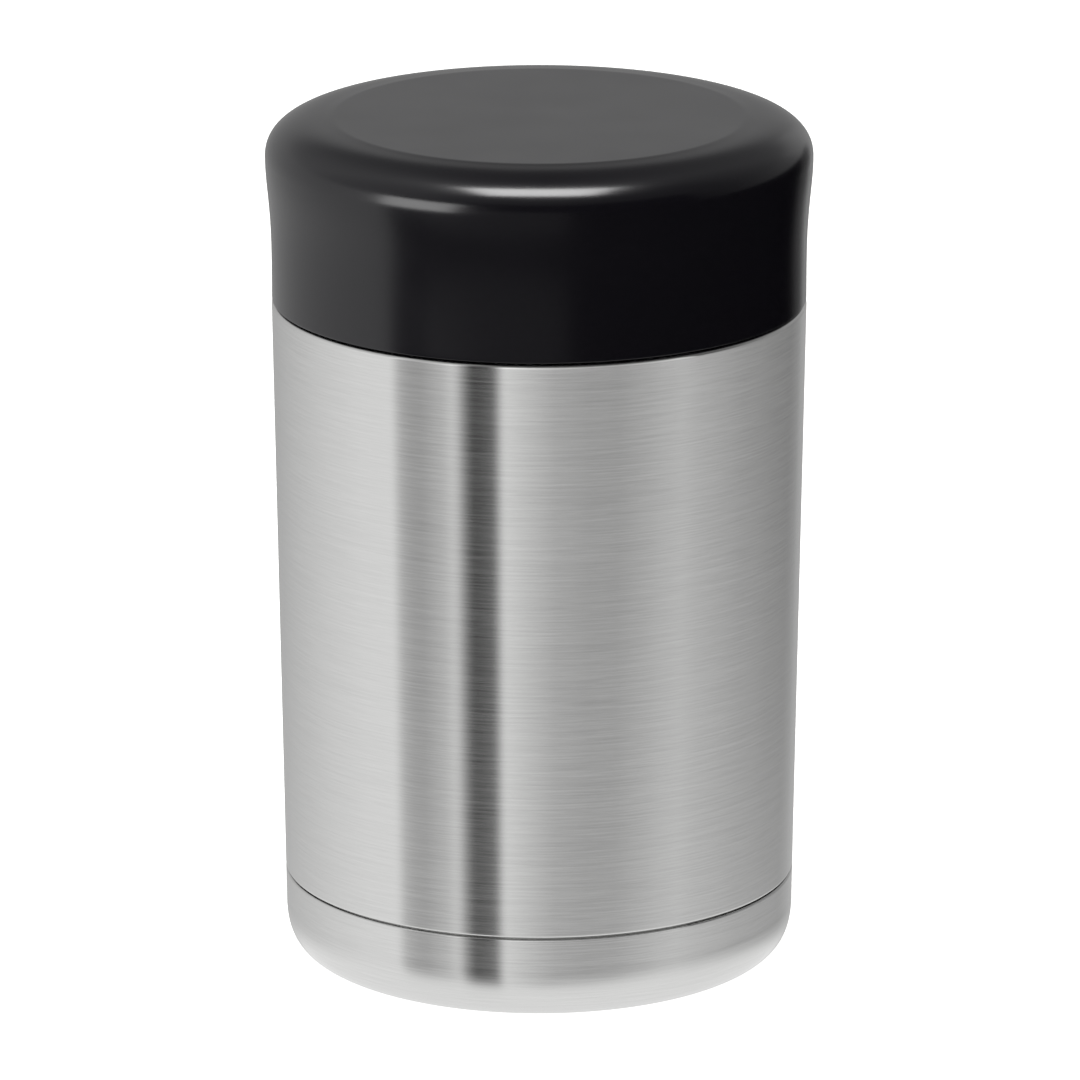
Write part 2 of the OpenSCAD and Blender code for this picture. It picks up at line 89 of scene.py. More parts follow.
# Side of the recess underneath, in shares of its depth: outwards from its edge, and up
RECESS_SIDE = [(-1.4, 1.0), (-1.0, 0.92), (-0.3, 0.1), (0.1, 0.0)]


# ---- Sizes and colours that a user would change ----


def length(name, description, millimetres):
    """A size in metres, given here in millimetres."""
    return bpy.props.FloatProperty(
        name=name, description=description, default=millimetres * MM,
        min=0.0, unit="LENGTH", precision=5,
    )


def shade(name, description, hex_code):
    """A colour, given as an sRGB hex value and kept as linear."""
    return bpy.props.FloatVectorProperty(
        name=name, description=description, default=linear(hex_code),
        size=3, min=0.0, max=1.0, subtype="COLOR",
    )


def linear(hex_code):
    """sRGB hex to linear red, green and blue."""
    channels = [int(hex_code[i : i + 2], 16) / 255 for i in (1, 3, 5)]
    return [c / 12.92 if c <= 0.04045 else ((c + 0.055) / 1.055) ** 2.4 for c in channels]


class SteelBodySizes(bpy.types.PropertyGroup):
    shoulder_height: length("Shoulder height", "Where the shell turns in under the lid", 124.7)
    shoulder_radius: length("Shoulder radius", "Radius of the shell at its shoulder", 48.95)
    shoulder_rounding: length("Shoulder rounding", "Rounding of the shell's top edge", 0.7)
    seam_height: length("Seam height", "Seam between the base cup and the shell", 16.65)
    seam_radius: length("Seam radius", "Radius of the body at that seam", 47.1)
    seam_gap: length("Seam gap", "Gap at the seam", 0.3)
    lip_rounding: length("Lip rounding", "Rounding of the shell's lip above the seam", 0.4)
    shell_wall: length("Casing wall", "Thickness of the outer casing and the base cup", 0.6)
    skirt_height: length("Skirt height", "Lower end of the shell inside the base cup", 11.0)
    neck_radius: length("Neck radius", "Radius of the neck that carries the lid's thread", 43.0)
    neck_rounding: length("Neck rounding", "Rounding at the foot of the neck", 1.2)
    rim_height: length("Rim height", "Height of the mouth's rim", 142.7)
    rim_width: length("Rim width", "Width of the rolled rim", 3.5)
    corner_size: length("Corner size", "Size of the rounded bottom corner", 11.0)
    corner_fullness: bpy.props.FloatProperty(
        name="Corner fullness", description="2 is a true circle, more is squarer",
        default=2.8, min=2.0, max=5.0,
    )
    foot_width: length("Foot width", "Width of the flat ring that the jar stands on", 6.0)
    recess_depth: length("Recess depth", "Depth of the recess underneath", 2.0)


class InnerVesselSizes(bpy.types.PropertyGroup):
    bore_radius: length("Bore radius", "Inside radius of the vessel", 40.5)
    floor_height: length("Floor height", "Height of the vessel's floor", 12.8)
    floor_rounding: length("Floor rounding", "Rounding between floor and wall", 9.0)
    ledge_radius: length("Ledge radius", "Inside radius of the stopper's ledge", 37.0)
    ledge_height: length("Ledge height", "Height of the stopper's ledge", 117.7)
    land_height: length("Land height", "Height of the narrow land under the ledge", 3.0)
    flare_height: length("Flare height", "Height over which the wall widens again", 7.0)
    ledge_rounding: length("Ledge rounding", "Rounding of the ledge's corners", 0.8)
    wall: length("Wall", "Thickness of the vessel", 0.5)


class StopperSizes(bpy.types.PropertyGroup):
    underside: length("Underside", "Height of the plug's lower face", 111.2)
    plug_radius: length("Plug radius", "Radius of the plug below the ledge", 36.4)
    core_radius: length("Core radius", "Radius of the threaded part", 38.2)
    core_height: length("Core height", "Height where the threaded part starts", 121.3)
    wall: length("Wall", "Thickness of the moulded walls", 1.8)
    flange_height: length("Flange height", "Height of the flange's underside", 143.0)
    flange_top: length("Flange top", "Height of the flange's top", 145.2)
    dish_radius: length("Dish radius", "Radius of the finger recess", 34.55)
    dish_floor: length("Dish floor", "Height of the finger recess's floor", 136.2)
    bar_width: length("Bar width", "Width of the grip bar", 18.0)
    bar_top: length("Bar top", "Height of the grip bar's top", 145.8)
    bar_rounding: length("Bar rounding", "Rounding along the grip bar's top", 2.0)
    pocket_radius: length("Pocket radius", "Radius of the button's pocket", 6.8)
    pocket_floor: length("Pocket floor", "Height of the pocket's floor", 137.5)
    passage_radius: length("Passage radius", "Steam passage round the stem", 3.2)
    tube_radius: length("Tube radius", "Outside of the tube round the passage", 5.0)
    recess_radius: length("Recess radius", "Recess for the valve's head, underneath", 8.0)
    recess_height: length("Recess height", "Height of that recess", 4.0)
    floor_wall: length("Floor wall", "Thickness of the plug's lower face", 2.0)
    guide_radius: length("Guide radius", "Outside of the stem's guide", 3.5)
    guide_height: length("Guide height", "Height of the guide above the pocket's floor", 3.6)
    stem_radius: length("Stem radius", "Radius of the valve's stem", 2.0)
    foam_gap: length("Foam gap", "Room round the foam", 0.3)


class LidSizes(bpy.types.PropertyGroup):
    foot_height: length("Foot height", "Height of the lid's lower edge", 125.1)
    foot_radius: length("Foot radius", "Radius of the lid at its lower edge", 48.9)
    wide_radius: length("Wide radius", "Radius of the lid at its widest", 50.0)
    wide_height: length("Wide height", "Height of the lid's widest line", 151.6)
    top_height: length("Top height", "Height of the lid's flat top", 159.0)
    flat_radius: length("Flat radius", "Radius of the flat disc on top", 37.4)
    crown_fullness: bpy.props.FloatProperty(
        name="Crown fullness", description="2 is a true ellipse, more is squarer",
        default=2.35, min=2.0, max=4.0,
    )
    disc_edge: bpy.props.FloatProperty(
        name="Disc edge", description="Slope with which the crown leaves the flat disc",
        default=math.radians(9.0), min=0.0, subtype="ANGLE",
    )
    disc_onset: length("Disc onset", "Width over which that slope sets in", 0.8)
    edge_rounding: length("Edge rounding", "Rounding of the lid's lower edge", 0.2)
    wall: length("Wall", "Thickness of the outer wall", 2.0)
    cup_radius: length("Cup radius", "Inside radius of the cup in the lid", 44.6)
    cup_wall: length("Cup wall", "Thickness of that cup", 1.6)
    cup_end: length("Cup end", "Height of the cup's end", 148.2)


class ThreadSizes(bpy.types.PropertyGroup):
    pitch: length("Pitch", "Rise of one turn", 4.0)
    depth: length("Depth", "How far a ridge stands out of its wall", 1.1)
    ridge_width: length("Ridge width", "Width of a ridge at its foot", 1.9)
    neck_start: length("Neck start", "Height of the neck's thread above the shoulder", 3.6)
    mouth_start: length("Mouth start", "Height of the mouth's thread above the ledge", 9.5)


class JarFinish(bpy.types.PropertyGroup):
    brushed_steel: shade("Brushed steel", "Outside of the body", "#DDDDDC")
    drawn_steel: shade("Drawn steel", "Inside of the vessel", "#C4C3BF")
    lid_plastic: shade("Lid plastic", "Black lid and button", "#0B0A0E")
    stopper_plastic: shade("Stopper plastic", "Dark grey stopper", "#3A3A3D")
    silicone: shade("Silicone", "Seals", "#B7B6B0")
    foam: shade("Foam", "Insulating foam", "#E9E2CC")
    copper: shade("Copper", "Foil round the vessel", "#D08A62")
    glass: shade("Glass", "Sealing bead", "#5B6A60")
    getter: shade("Getter", "Getter pill", "#6E6E72")


class StudioSettings(bpy.types.PropertyGroup):
    camera_distance: length("Camera distance", "From the jar's axis, along the floor", 1650.23)
    camera_height: length("Camera height", "Above the floor", 549.05)
    camera_pitch: bpy.props.FloatProperty(
        name="Camera pitch", description="How far the camera looks down",
        default=math.radians(15.913), subtype="ANGLE",
    )
    focal_length: bpy.props.FloatProperty(
        name="Focal length", description="In millimetres, for a 36 mm wide frame",
        default=310.19, min=1.0,
    )
    floor_colour: shade("Floor", "Plain pale floor", "#CFCFCE")
    floor_glow: bpy.props.FloatProperty(
        name="Floor glow", description="Light that comes up through the floor",
        default=1.45, min=0.0,
    )
    floor_size: length("Floor size", "Half the width of the floor", 6000.0)


# ---- Nodes ----


def add_node(tree, kind, settings=None, **inputs):
    """Adds a node with its own settings. Its inputs, by name or as _number, take values, or are
    linked to sockets or to the first output that other nodes use."""
    made = tree.nodes.new(kind)
    for name, value in (settings or {}).items():
        setattr(made, name, value)
    for name, value in inputs.items():
        key = int(name[1:]) if name[1:].isdigit() else name.replace("_", " ")
        if isinstance(value, bpy.types.Node):
            value = next(socket for socket in value.outputs if socket.enabled)
        if isinstance(value, bpy.types.NodeSocket):
            tree.links.new(value, made.inputs[key])
        else:
            made.inputs[key].default_value = value
    return made


def new_material(name):
    """An empty node material and its tree."""
    material = bpy.data.materials.new(name)
    material.use_nodes = True
    material.node_tree.nodes.clear()
    return material, material.node_tree


def opaque(colour, share=1.0):
    """A colour, or a darker share of it, with full alpha."""
    return (*(c * share for c in colour), 1.0)


def stretched_noise(tree, around, up, detail, roughness=0.6):
    """Noise whose marks are `around` metres long round the axis and `up` metres tall."""
    place = add_node(tree, "ShaderNodeTexCoord").outputs["Object"]
    scaled = add_node(tree, "ShaderNodeMapping", {"vector_type": "POINT"}, Vector=place,
                      Scale=(1 / around, 1 / around, 1 / up))
    return add_node(tree, "ShaderNodeTexNoise", {"noise_dimensions": "3D"}, Vector=scaled,
                    Scale=1.0, Detail=detail, Roughness=roughness)


def spread(tree, noise, low=0.0, high=1.0):
    """Noise keeps near its middle, so the part from 0.3 to 0.7 is spread from low to high."""
    return add_node(tree, "ShaderNodeMapRange", None, Value=noise, From_Min=0.3, From_Max=0.7,
                    To_Min=low, To_Max=high)


def surface(material, colour, dark, tint, dents=None, strength=0.0, depth=0.0, **skin):
    """Ends a material: with the tint, its colour runs from a dark share to the full colour.
    Dents are a pattern that marks the surface with a strength, to a depth."""
    tree = material.node_tree
    if dents:
        skin["Normal"] = add_node(tree, "ShaderNodeBump", None, Strength=strength,
                                  Distance=depth, Height=dents)
    base = add_node(tree, "ShaderNodeMix", {"data_type": "RGBA"}, _0=tint,
                    _6=opaque(colour, dark), _7=opaque(colour))
    shader = add_node(tree, "ShaderNodeBsdfPrincipled", None, Base_Color=base, **skin)
    add_node(tree, "ShaderNodeOutputMaterial", Surface=shader)
    return material


# ---- Materials ----


def brushed_stainless(finish):
    """18/8 stainless steel, brushed round the axis with a fine belt: each scratch is a long thin
    line, so reflections stay sharp across the jar and smear up and down it into upright bands."""
    material, tree = new_material("Brushed_Stainless_Steel")
    # Belt scratches are about 0.02 mm wide; 0.3 mm is the finest that the render can show
    scratches = stretched_noise(tree, around=14 * MM, up=0.3 * MM, detail=4.0, roughness=0.75)
    # Slower changes in the belt's pressure, a few millimetres tall
    passes = stretched_noise(tree, around=90 * MM, up=3.5 * MM, detail=2.0)
    both = add_node(tree, "ShaderNodeMath", {"operation": "MULTIPLY_ADD"}, _0=passes, _1=0.2,
                    _2=spread(tree, scratches, 0.0, 0.8))
    grain = add_node(tree, "ShaderNodeTangent", {"direction_type": "RADIAL", "axis": "Z"})
    return surface(
        material, finish.brushed_steel, dark=0.88, tint=both,
        dents=scratches, strength=0.18, depth=0.01 * MM,
        Metallic=1.0, Roughness=spread(tree, scratches, 0.135, 0.19),
        Anisotropic=1.0, Anisotropic_Rotation=ACROSS_THE_GRAIN, Tangent=grain,
    )


def drawn_stainless(finish):
    """18/8 stainless steel, deep drawn and electropolished: soft, slightly cloudy reflections
    with faint draw lines round the wall."""
    material, tree = new_material("Drawn_Stainless_Steel")
    clouds = stretched_noise(tree, around=14 * MM, up=14 * MM, detail=3.0)
    draw_lines = stretched_noise(tree, around=60 * MM, up=0.7 * MM, detail=2.0)
    return surface(
        material, finish.drawn_steel, dark=0.94, tint=spread(tree, clouds),
        dents=draw_lines, strength=0.1, depth=0.02 * MM,
        Metallic=1.0, Roughness=spread(tree, clouds, 0.3, 0.36),
    )


def moulded_plastic(name, colour, rough, grit):
    """Polypropylene from a spark-eroded mould: a satin skin with a very fine, even grit."""
    material, tree = new_material(name)
    # Spark-eroded grit is about 0.05 mm; it is drawn at 0.18 mm, the finest that shows
    skin = stretched_noise(tree, around=0.18 * MM, up=0.18 * MM, detail=2.0)
    # Moulding leaves slow, small changes in the gloss, about 20 mm across
    flow = stretched_noise(tree, around=20 * MM, up=20 * MM, detail=2.0)
    change = 0.015
    return surface(
        material, colour, dark=0.86, tint=spread(tree, skin),
        dents=skin, strength=grit, depth=0.01 * MM,
        Roughness=spread(tree, flow, rough - change, rough + change), IOR=1.49,
    )


def black_polypropylene(finish):
    """Black polypropylene, satin: nearly no colour of its own, soft-edged highlights."""
    return moulded_plastic("Black_Polypropylene_Satin", finish.lid_plastic, rough=0.22, grit=0.05)


def grey_polypropylene(finish):
    """Dark grey polypropylene, duller than the lid, so that the stopper's shapes read."""
    return moulded_plastic("Grey_Polypropylene_Satin", finish.stopper_plastic, rough=0.42,
                           grit=0.12)


def silicone_rubber(finish):
    """Food-grade silicone, compression moulded: matte, slightly see-through at its edges."""
    material, tree = new_material("Silicone_Rubber_Matte")
    dust = stretched_noise(tree, around=1.5 * MM, up=1.5 * MM, detail=3.0)
    return surface(
        material, finish.silicone, dark=0.92, tint=spread(tree, dust),
        dents=dust, strength=0.15, depth=0.02 * MM, Roughness=0.55, IOR=1.41,
        Subsurface_Weight=0.15, Subsurface_Radius=(1.0, 0.95, 0.85), Subsurface_Scale=1.2 * MM,
    )


def polyurethane_foam(finish):
    """Rigid polyurethane foam: a pale, dull skin pitted with small open cells."""
    material, tree = new_material("Polyurethane_Foam")
    place = add_node(tree, "ShaderNodeTexCoord").outputs["Object"]
    # Cells are about 0.8 mm across
    cells = add_node(tree, "ShaderNodeTexVoronoi", {"feature": "F1"}, Vector=place,
                     Scale=1 / (0.8 * MM))
    edges = add_node(tree, "ShaderNodeMapRange", None, Value=cells, From_Min=0.1, From_Max=0.7)
    return surface(material, finish.foam, dark=0.72, tint=edges,
                   dents=cells, strength=0.5, depth=0.2 * MM, Roughness=0.9, IOR=1.45)


def copper_foil(finish):
    """Rolled copper foil, wrapped by hand: bright, with soft wrinkles a few millimetres long."""
    material, tree = new_material("Copper_Foil")
    wrinkles = stretched_noise(tree, around=6 * MM, up=4 * MM, detail=4.0)
    return surface(material, finish.copper, dark=0.85, tint=spread(tree, wrinkles),
                   dents=wrinkles, strength=0.4, depth=0.2 * MM, Metallic=1.0, Roughness=0.22)


def sealing_glass(finish):
    """Solder glass, melted in place: dark, glossy and a little uneven."""
    material, tree = new_material("Solder_Glass")
    flow = stretched_noise(tree, around=2.5 * MM, up=2.5 * MM, detail=2.0)
    return surface(material, finish.glass, dark=0.8, tint=spread(tree, flow),
                   dents=flow, strength=0.3, depth=0.1 * MM, Roughness=0.08, IOR=1.6)


def pressed_getter(finish):
    """Getter alloy, pressed from powder: a dull grey compact with visible grains."""
    material, tree = new_material("Pressed_Getter_Alloy")
    grains = stretched_noise(tree, around=0.3 * MM, up=0.3 * MM, detail=2.0)
    return surface(material, finish.getter, dark=0.7, tint=spread(tree, grains),
                   dents=grains, strength=0.4, depth=0.05 * MM, Metallic=0.7, Roughness=0.6)


def spring_wire(finish):
    """Stainless spring wire, drawn and coiled: bright, with fine lines along the wire."""
    material, tree = new_material("Stainless_Spring_Wire")
    die_lines = stretched_noise(tree, around=0.6 * MM, up=0.1 * MM, detail=2.0)
    return surface(material, finish.drawn_steel, dark=0.85, tint=spread(tree, die_lines),
                   Metallic=1.0, Roughness=spread(tree, die_lines, 0.18, 0.26))


# The finish of each material slot
FINISHES = {
    "brushed_steel": brushed_stainless,
    "vessel_steel": drawn_stainless,
    "lid_plastic": black_polypropylene,
    "stopper_plastic": grey_polypropylene,
    "silicone": silicone_rubber,
    "foam": polyurethane_foam,
    "copper_foil": copper_foil,
    "sealing_glass": sealing_glass,
    "getter_alloy": pressed_getter,
    "spring_steel": spring_wire,
}
made_finishes = {}


def coat(piece, slot):
    """Gives a piece its slot's finish, which is made the first time that it is needed."""
    if slot not in made_finishes:
        made_finishes[slot] = FINISHES[slot](bpy.context.scene.jar_finish)
    piece.data.materials.clear()
    piece.data.materials.append(made_finishes[slot])


# ---- Outlines, as (radius, height) points in metres ----


def arc(centre_r, centre_z, radius, start, end, steps=8):
    """Points along an arc, from one angle to another, in degrees."""
    angles = [math.radians(start + (end - start) * i / steps) for i in range(steps + 1)]
    return [(centre_r + radius * math.cos(a), centre_z + radius * math.sin(a)) for a in angles]


def full_corner(centre_r, centre_z, width, height, fullness, steps):
    """A quarter of a superellipse, from its widest point to its top, or to its bottom where the
    height is below 0. A fullness of 2 is a true ellipse, and more is squarer."""
    power = 2 / fullness
    angles = [math.pi / 2 * i / steps for i in range(steps + 1)]
    return [(centre_r + width * math.cos(a) ** power, centre_z + height * math.sin(a) ** power)
            for a in angles]


def rows(radius, low, high, threads):
    """Points straight up a wall, close enough together to carry a thread."""
    count = max(2, round((high - low) / (threads.pitch / THREAD_ROWS)))
    return [(radius, low + (high - low) * i / count) for i in range(count + 1)]


def wall_inside(path, thickness):
    """The path moved to its left by a wall's thickness, with mitred corners."""
    moved = []
    last = len(path) - 1
    for i, (r, z) in enumerate(path):
        before = left_of(path[max(i - 1, 0)], path[max(i, 1)])
        after = left_of(path[min(i, last - 1)], path[min(i + 1, last)])
        scale = thickness / (1 + before[0] * after[0] + before[1] * after[1])
        moved.append((r + scale * (before[0] + after[0]), z + scale * (before[1] + after[1])))
    return moved


def left_of(start, end):
    """Direction to the left of the way from one point to another."""
    along_r, along_z = end[0] - start[0], end[1] - start[1]
    size = math.hypot(along_r, along_z)
    return (-along_z / size, along_r / size)


def braced(outline, near=0.2 * MM, long=1.0 * MM):
    """The outline with extra points close to the ends of its long straights, so that smooth
    shading keeps them straight."""
    points = []
    for i, start in enumerate(outline):
        end = outline[(i + 1) % len(outline)]
        points.append(start)
        size = math.hypot(end[0] - start[0], end[1] - start[1])
        if size <= long or max(start[0], end[0]) < ON_AXIS:
            continue
        for part in (near / size, 1 - near / size):
            r, z = [a + (b - a) * part for a, b in zip(start, end)]
            if r > ON_AXIS:
                points.append((r, z))
    return points


# ---- Meshes ----


def turned(name, outline, swell=None, steps=ROUND_STEPS):
    """Turns a closed outline about Z. swell(angle, radius, height) moves a point outwards."""
    work = bmesh.new()
    rings = []
    for r, z in braced(outline):
        if r < ON_AXIS:
            rings.append([work.verts.new((0.0, 0.0, z))])
            continue
        ring = []
        for i in range(steps):
            a = TURN * i / steps
            out = r + (swell(a, r, z) if swell else 0.0)
            ring.append(work.verts.new((out * math.cos(a), out * math.sin(a), z)))
        rings.append(ring)
    for k, low in enumerate(rings):
        high = rings[(k + 1) % len(rings)]
        if len(low) == 1 and len(high) == 1:
            continue
        for i in range(steps):
            j = (i + 1) % steps
            corners = [low[i % len(low)], low[j % len(low)], high[j % len(high)],
                       high[i % len(high)]]
            # At the axis, two corners are the same point
            work.faces.new(list(dict.fromkeys(corners)))
    bmesh.ops.recalc_face_normals(work, faces=work.faces)
    return finished(name, work)


def capped(name, rings):
    """A tube through rings of points, closed at both ends."""
    work = bmesh.new()
    rings = [[work.verts.new(point) for point in ring] for ring in rings]
    for first, second in zip(rings, rings[1:]):
        for i in range(len(first)):
            j = (i + 1) % len(first)
            work.faces.new((first[i], first[j], second[j], second[i]))
    work.faces.new(rings[0][::-1])
    work.faces.new(rings[-1])
    bmesh.ops.recalc_face_normals(work, faces=work.faces)
    return finished(name, work)


def finished(name, work):
    """Ends a bmesh: makes its object, smooth but for its real edges."""
    mesh = bpy.data.meshes.new(name)
    work.to_mesh(mesh)
    work.free()
    smoothed(mesh)
    made = bpy.data.objects.new(name, mesh)
    bpy.context.scene.collection.objects.link(made)
    return made


def smoothed(mesh):
    """Shades a mesh smooth, and keeps its real edges sharp."""
    for face in mesh.polygons:
        face.use_smooth = True
    mesh.set_sharp_from_angle(angle=SHARP_ANGLE)


def seated(piece, body, slot, node):
    """Gives a piece its finish, body and slot, and puts it in the place of its node."""
    coat(piece, slot)
    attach(piece, body)
    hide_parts(node)


def threaded(threads, first_height, outward, phase, radii, heights):
    """A swell for turned(): a right-hand thread's ridge, on the walls between the radii and
    between the heights. Outward is a share of the thread's depth, and phase is in turns."""
    pitch, half = threads.pitch, threads.ridge_width / 2

    def swell(angle, radius, height):
        if not (radii[0] < radius < radii[1] and heights[0] < height < heights[1]):
            return 0.0
        along = (height - first_height) / pitch - angle / TURN - phase
        k = round(along)
        off = abs(along - k) * pitch
        # How many turns along the thread this point is
        run = k + angle / TURN
        if off >= half or not 0 <= run <= THREAD_TURNS:
            return 0.0
        ends = min(1.0, run / THREAD_FADE, (THREAD_TURNS - run) / THREAD_FADE)
        flank = min(1.0, THREAD_FLANK * (1 - off / half))
        return outward * threads.depth * eased(flank) * eased(ends)

    return swell


def eased(share):
    """A share from 0 to 1 with a soft start and a soft end."""
    return share * share * (3 - 2 * share)


# ---- Body ----


def body_radius(sizes, height):
    """Radius of the tapered body at a height."""
    share = (height - sizes.seam_height) / (sizes.shoulder_height - sizes.seam_height)
    return sizes.seam_radius + (sizes.shoulder_radius - sizes.seam_radius) * share


class JAR_OT_outer_shell(bpy.types.Operator):
    """Brushed outer shell, with the rolled lip at its seam, its shoulder and the threaded neck"""

    bl_idname = "jar.outer_shell"
    bl_label = "Outer Casing"

    def execute(self, context):
        sizes = context.scene.jar_body
        threads = context.scene.jar_threads
        wall = sizes.shell_wall
        lip = sizes.lip_rounding
        lip_z = sizes.seam_height + sizes.seam_gap / 2
        lip_r = body_radius(sizes, lip_z + lip) - lip
        skirt_r = body_radius(sizes, sizes.skirt_height) - wall - JOINT_GAP
        shoulder = sizes.shoulder_rounding
        shoulder_r = sizes.shoulder_radius - shoulder
        shoulder_z = sizes.shoulder_height - shoulder
        neck = sizes.neck_rounding
        foot_r = sizes.neck_radius + neck
        foot_z = sizes.shoulder_height + neck
        neck_rows = (foot_z + ROW_START, sizes.rim_height - sizes.rim_width, threads)
        outside = (
            [(skirt_r, sizes.skirt_height), (skirt_r, lip_z)]
            + arc(lip_r, lip_z + lip, lip, -90, 0)
            + arc(shoulder_r, shoulder_z, shoulder, 0, 90, 12)
            + arc(foot_r, foot_z, neck, -90, -180, 10)
            + rows(sizes.neck_radius, *neck_rows)
        )
        inside = (
            [(skirt_r - wall, sizes.skirt_height), (skirt_r - wall, lip_z + wall)]
            + [(lip_r + lip - wall, lip_z + wall + lip)]
            + arc(shoulder_r, shoulder_z, shoulder - wall, 0, 90)
            + arc(foot_r, foot_z, neck + wall, -90, -180)
            + rows(sizes.neck_radius - wall, *neck_rows)
        )
        ridge = threaded(threads, sizes.shoulder_height + threads.neck_start, 1.0, 0.0,
                         (0.0, sizes.neck_radius + ON_WALL), (foot_z, sizes.rim_height))
        piece = turned("Outer_Casing", outside + inside[::-1], ridge)
        seated(piece, "jar", "brushed_steel", "outer_shell")
        return {"FINISHED"}


class JAR_OT_base_cup(bpy.types.Operator):
    """Brushed base cup, with its rolled upper edge, full bottom corner and recess underneath"""

    bl_idname = "jar.base_cup"
    bl_label = "Base Cup"

    def execute(self, context):
        sizes = context.scene.jar_body
        wall = sizes.shell_wall
        corner = sizes.corner_size
        corner_r = body_radius(sizes, corner) - corner
        recess_r, depth = corner_r - sizes.foot_width, sizes.recess_depth
        path = (
            [(0.0, depth)]
            + [(recess_r + out * depth, up * depth) for out, up in RECESS_SIDE]
            + full_corner(corner_r, corner, corner, -corner, sizes.corner_fullness, 32)[::-1]
        )
        # The upper edge turns in a little, and its cut end is rounded
        top = sizes.seam_height - sizes.seam_gap / 2
        edge, cut = 0.3 * MM, 0.25 * MM
        edge_r = body_radius(sizes, top) - edge
        outside = path + arc(edge_r, top - edge, edge, 0, 75, 6)
        inside = wall_inside(path, wall) + [(edge_r + edge - wall, top - cut)]
        inside[0] = (0.0, depth + wall)
        piece = turned("Base_Cup", outside + inside[::-1])
        seated(piece, "jar", "brushed_steel", "base_cup")
        return {"FINISHED"}


class JAR_OT_inner_vessel(bpy.types.Operator):
    """Drawn inner vessel, with the stopper's thread rolled into its mouth, and its rolled rim"""

    bl_idname = "jar.inner_vessel"
    bl_label = "Inner Vessel"

    def execute(self, context):
        body = context.scene.jar_body
        sizes = context.scene.jar_vessel
        threads = context.scene.jar_threads
        mouth_r = body.neck_radius - body.rim_width
        rim = body.rim_width / 2
        rim_z = body.rim_height - rim
        ease = sizes.ledge_rounding
        ledge_z, floor_r = sizes.ledge_height, sizes.floor_rounding
        flare_z = ledge_z - sizes.land_height - sizes.flare_height
        flare_w = sizes.bore_radius - sizes.ledge_radius
        flare_steps = 16
        shares = [i / flare_steps for i in range(flare_steps + 1)]
        flare = [(sizes.ledge_radius + flare_w * (1 + math.cos(math.pi * share)) / 2,
                  flare_z + sizes.flare_height * share) for share in shares]
        path = (
            [(0.0, sizes.floor_height)]
            + arc(sizes.bore_radius - floor_r, sizes.floor_height + floor_r, floor_r, -90, 0, 20)
            + flare
            + arc(sizes.ledge_radius + ease, ledge_z - ease, ease, 180, 90, 6)
            + arc(mouth_r - ease, ledge_z + ease, ease, -90, 0, 6)
            + rows(mouth_r, ledge_z + ease + ROW_START, rim_z - ROW_START, threads)
            + arc(mouth_r + rim, rim_z, rim, 180, 0, 24)
            + [(body.neck_radius, rim_z - rim)]
        )
        outside = wall_inside(path, -sizes.wall)
        outside[0] = (0.0, sizes.floor_height - sizes.wall)
        ridge = threaded(threads, ledge_z + threads.mouth_start, -MOUTH_SHARE, 0.0,
                         (0.0, mouth_r + sizes.wall + ON_WALL), (ledge_z + 2 * ease, rim_z - rim))
        piece = turned("Inner_Vessel", path + outside[::-1], ridge)
        seated(piece, "jar", "vessel_steel", "inner_vessel")
        return {"FINISHED"}


class JAR_OT_vacuum_parts(bpy.types.Operator):
    """Finishes on the sealed parts between the walls: plate, bead, getter, clip and foil"""

    bl_idname = "jar.vacuum_parts"
    bl_label = "Vacuum Parts"

    def execute(self, context):
        slots = {
            "vacuum_plate": "vessel_steel",
            "seal_bead": "sealing_glass",
            "getter": "getter_alloy",
            "getter_clip": "spring_steel",
            "radiation_foil": "copper_foil",
        }
        for node, slot in slots.items():
            coat(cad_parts[node], slot)
        return {"FINISHED"}


# ---- Stopper ----


class JAR_OT_stopper_body(bpy.types.Operator):
    """Moulded plug of the stopper, with its thread"""

    bl_idname = "jar.stopper_body"
    bl_label = "Stopper Body"

    def execute(self, context):
        sizes = context.scene.jar_stopper
        threads = context.scene.jar_threads
        wall = sizes.wall
        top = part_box("stopper_body")[1].z
        edge, ease, small = 1.0 * MM, 0.4 * MM, 0.3 * MM
        low, passage, recess_r = sizes.underside, sizes.passage_radius, sizes.recess_radius
        recess_top = low + sizes.recess_height
        floor_top = low + sizes.floor_wall
        tube_low, tube_top = recess_top + sizes.floor_wall, sizes.dish_floor - wall - JOINT_GAP
        core_r, core_z, plug_r = sizes.core_radius, sizes.core_height, sizes.plug_radius
        outside = (
            [(passage, recess_top), (recess_r - small, recess_top)]
            + [(recess_r, recess_top - small), (recess_r, low + ease)]
            + arc(recess_r + ease, low + ease, ease, 180, 270, 4)
            + arc(plug_r - edge, low + edge, edge, -90, 0)
            + [(plug_r, core_z)]
            + arc(core_r - ease, core_z + ease, ease, -90, 0, 4)
            + rows(core_r, core_z + ease + ROW_START, top, threads)
        )
        inside = [
            (core_r - wall, top), (core_r - wall, core_z + wall), (plug_r - wall, core_z),
            (plug_r - wall, floor_top), (recess_r + wall, floor_top), (recess_r + wall, tube_low),
            (sizes.tube_radius, tube_low), (sizes.tube_radius, tube_top), (passage, tube_top),
        ]
        # Half a pitch from the mouth's thread, so that the ridges lie in each other's grooves
        start = context.scene.jar_vessel.ledge_height + threads.mouth_start
        ridge = threaded(threads, start, STOPPER_SHARE, -0.5,
                         (core_r - ON_WALL, core_r + ON_WALL), (core_z + ease, math.inf))
        piece = turned("Stopper_Body", outside + inside, ridge)
        seated(piece, "stopper", "stopper_plastic", "stopper_body")
        return {"FINISHED"}


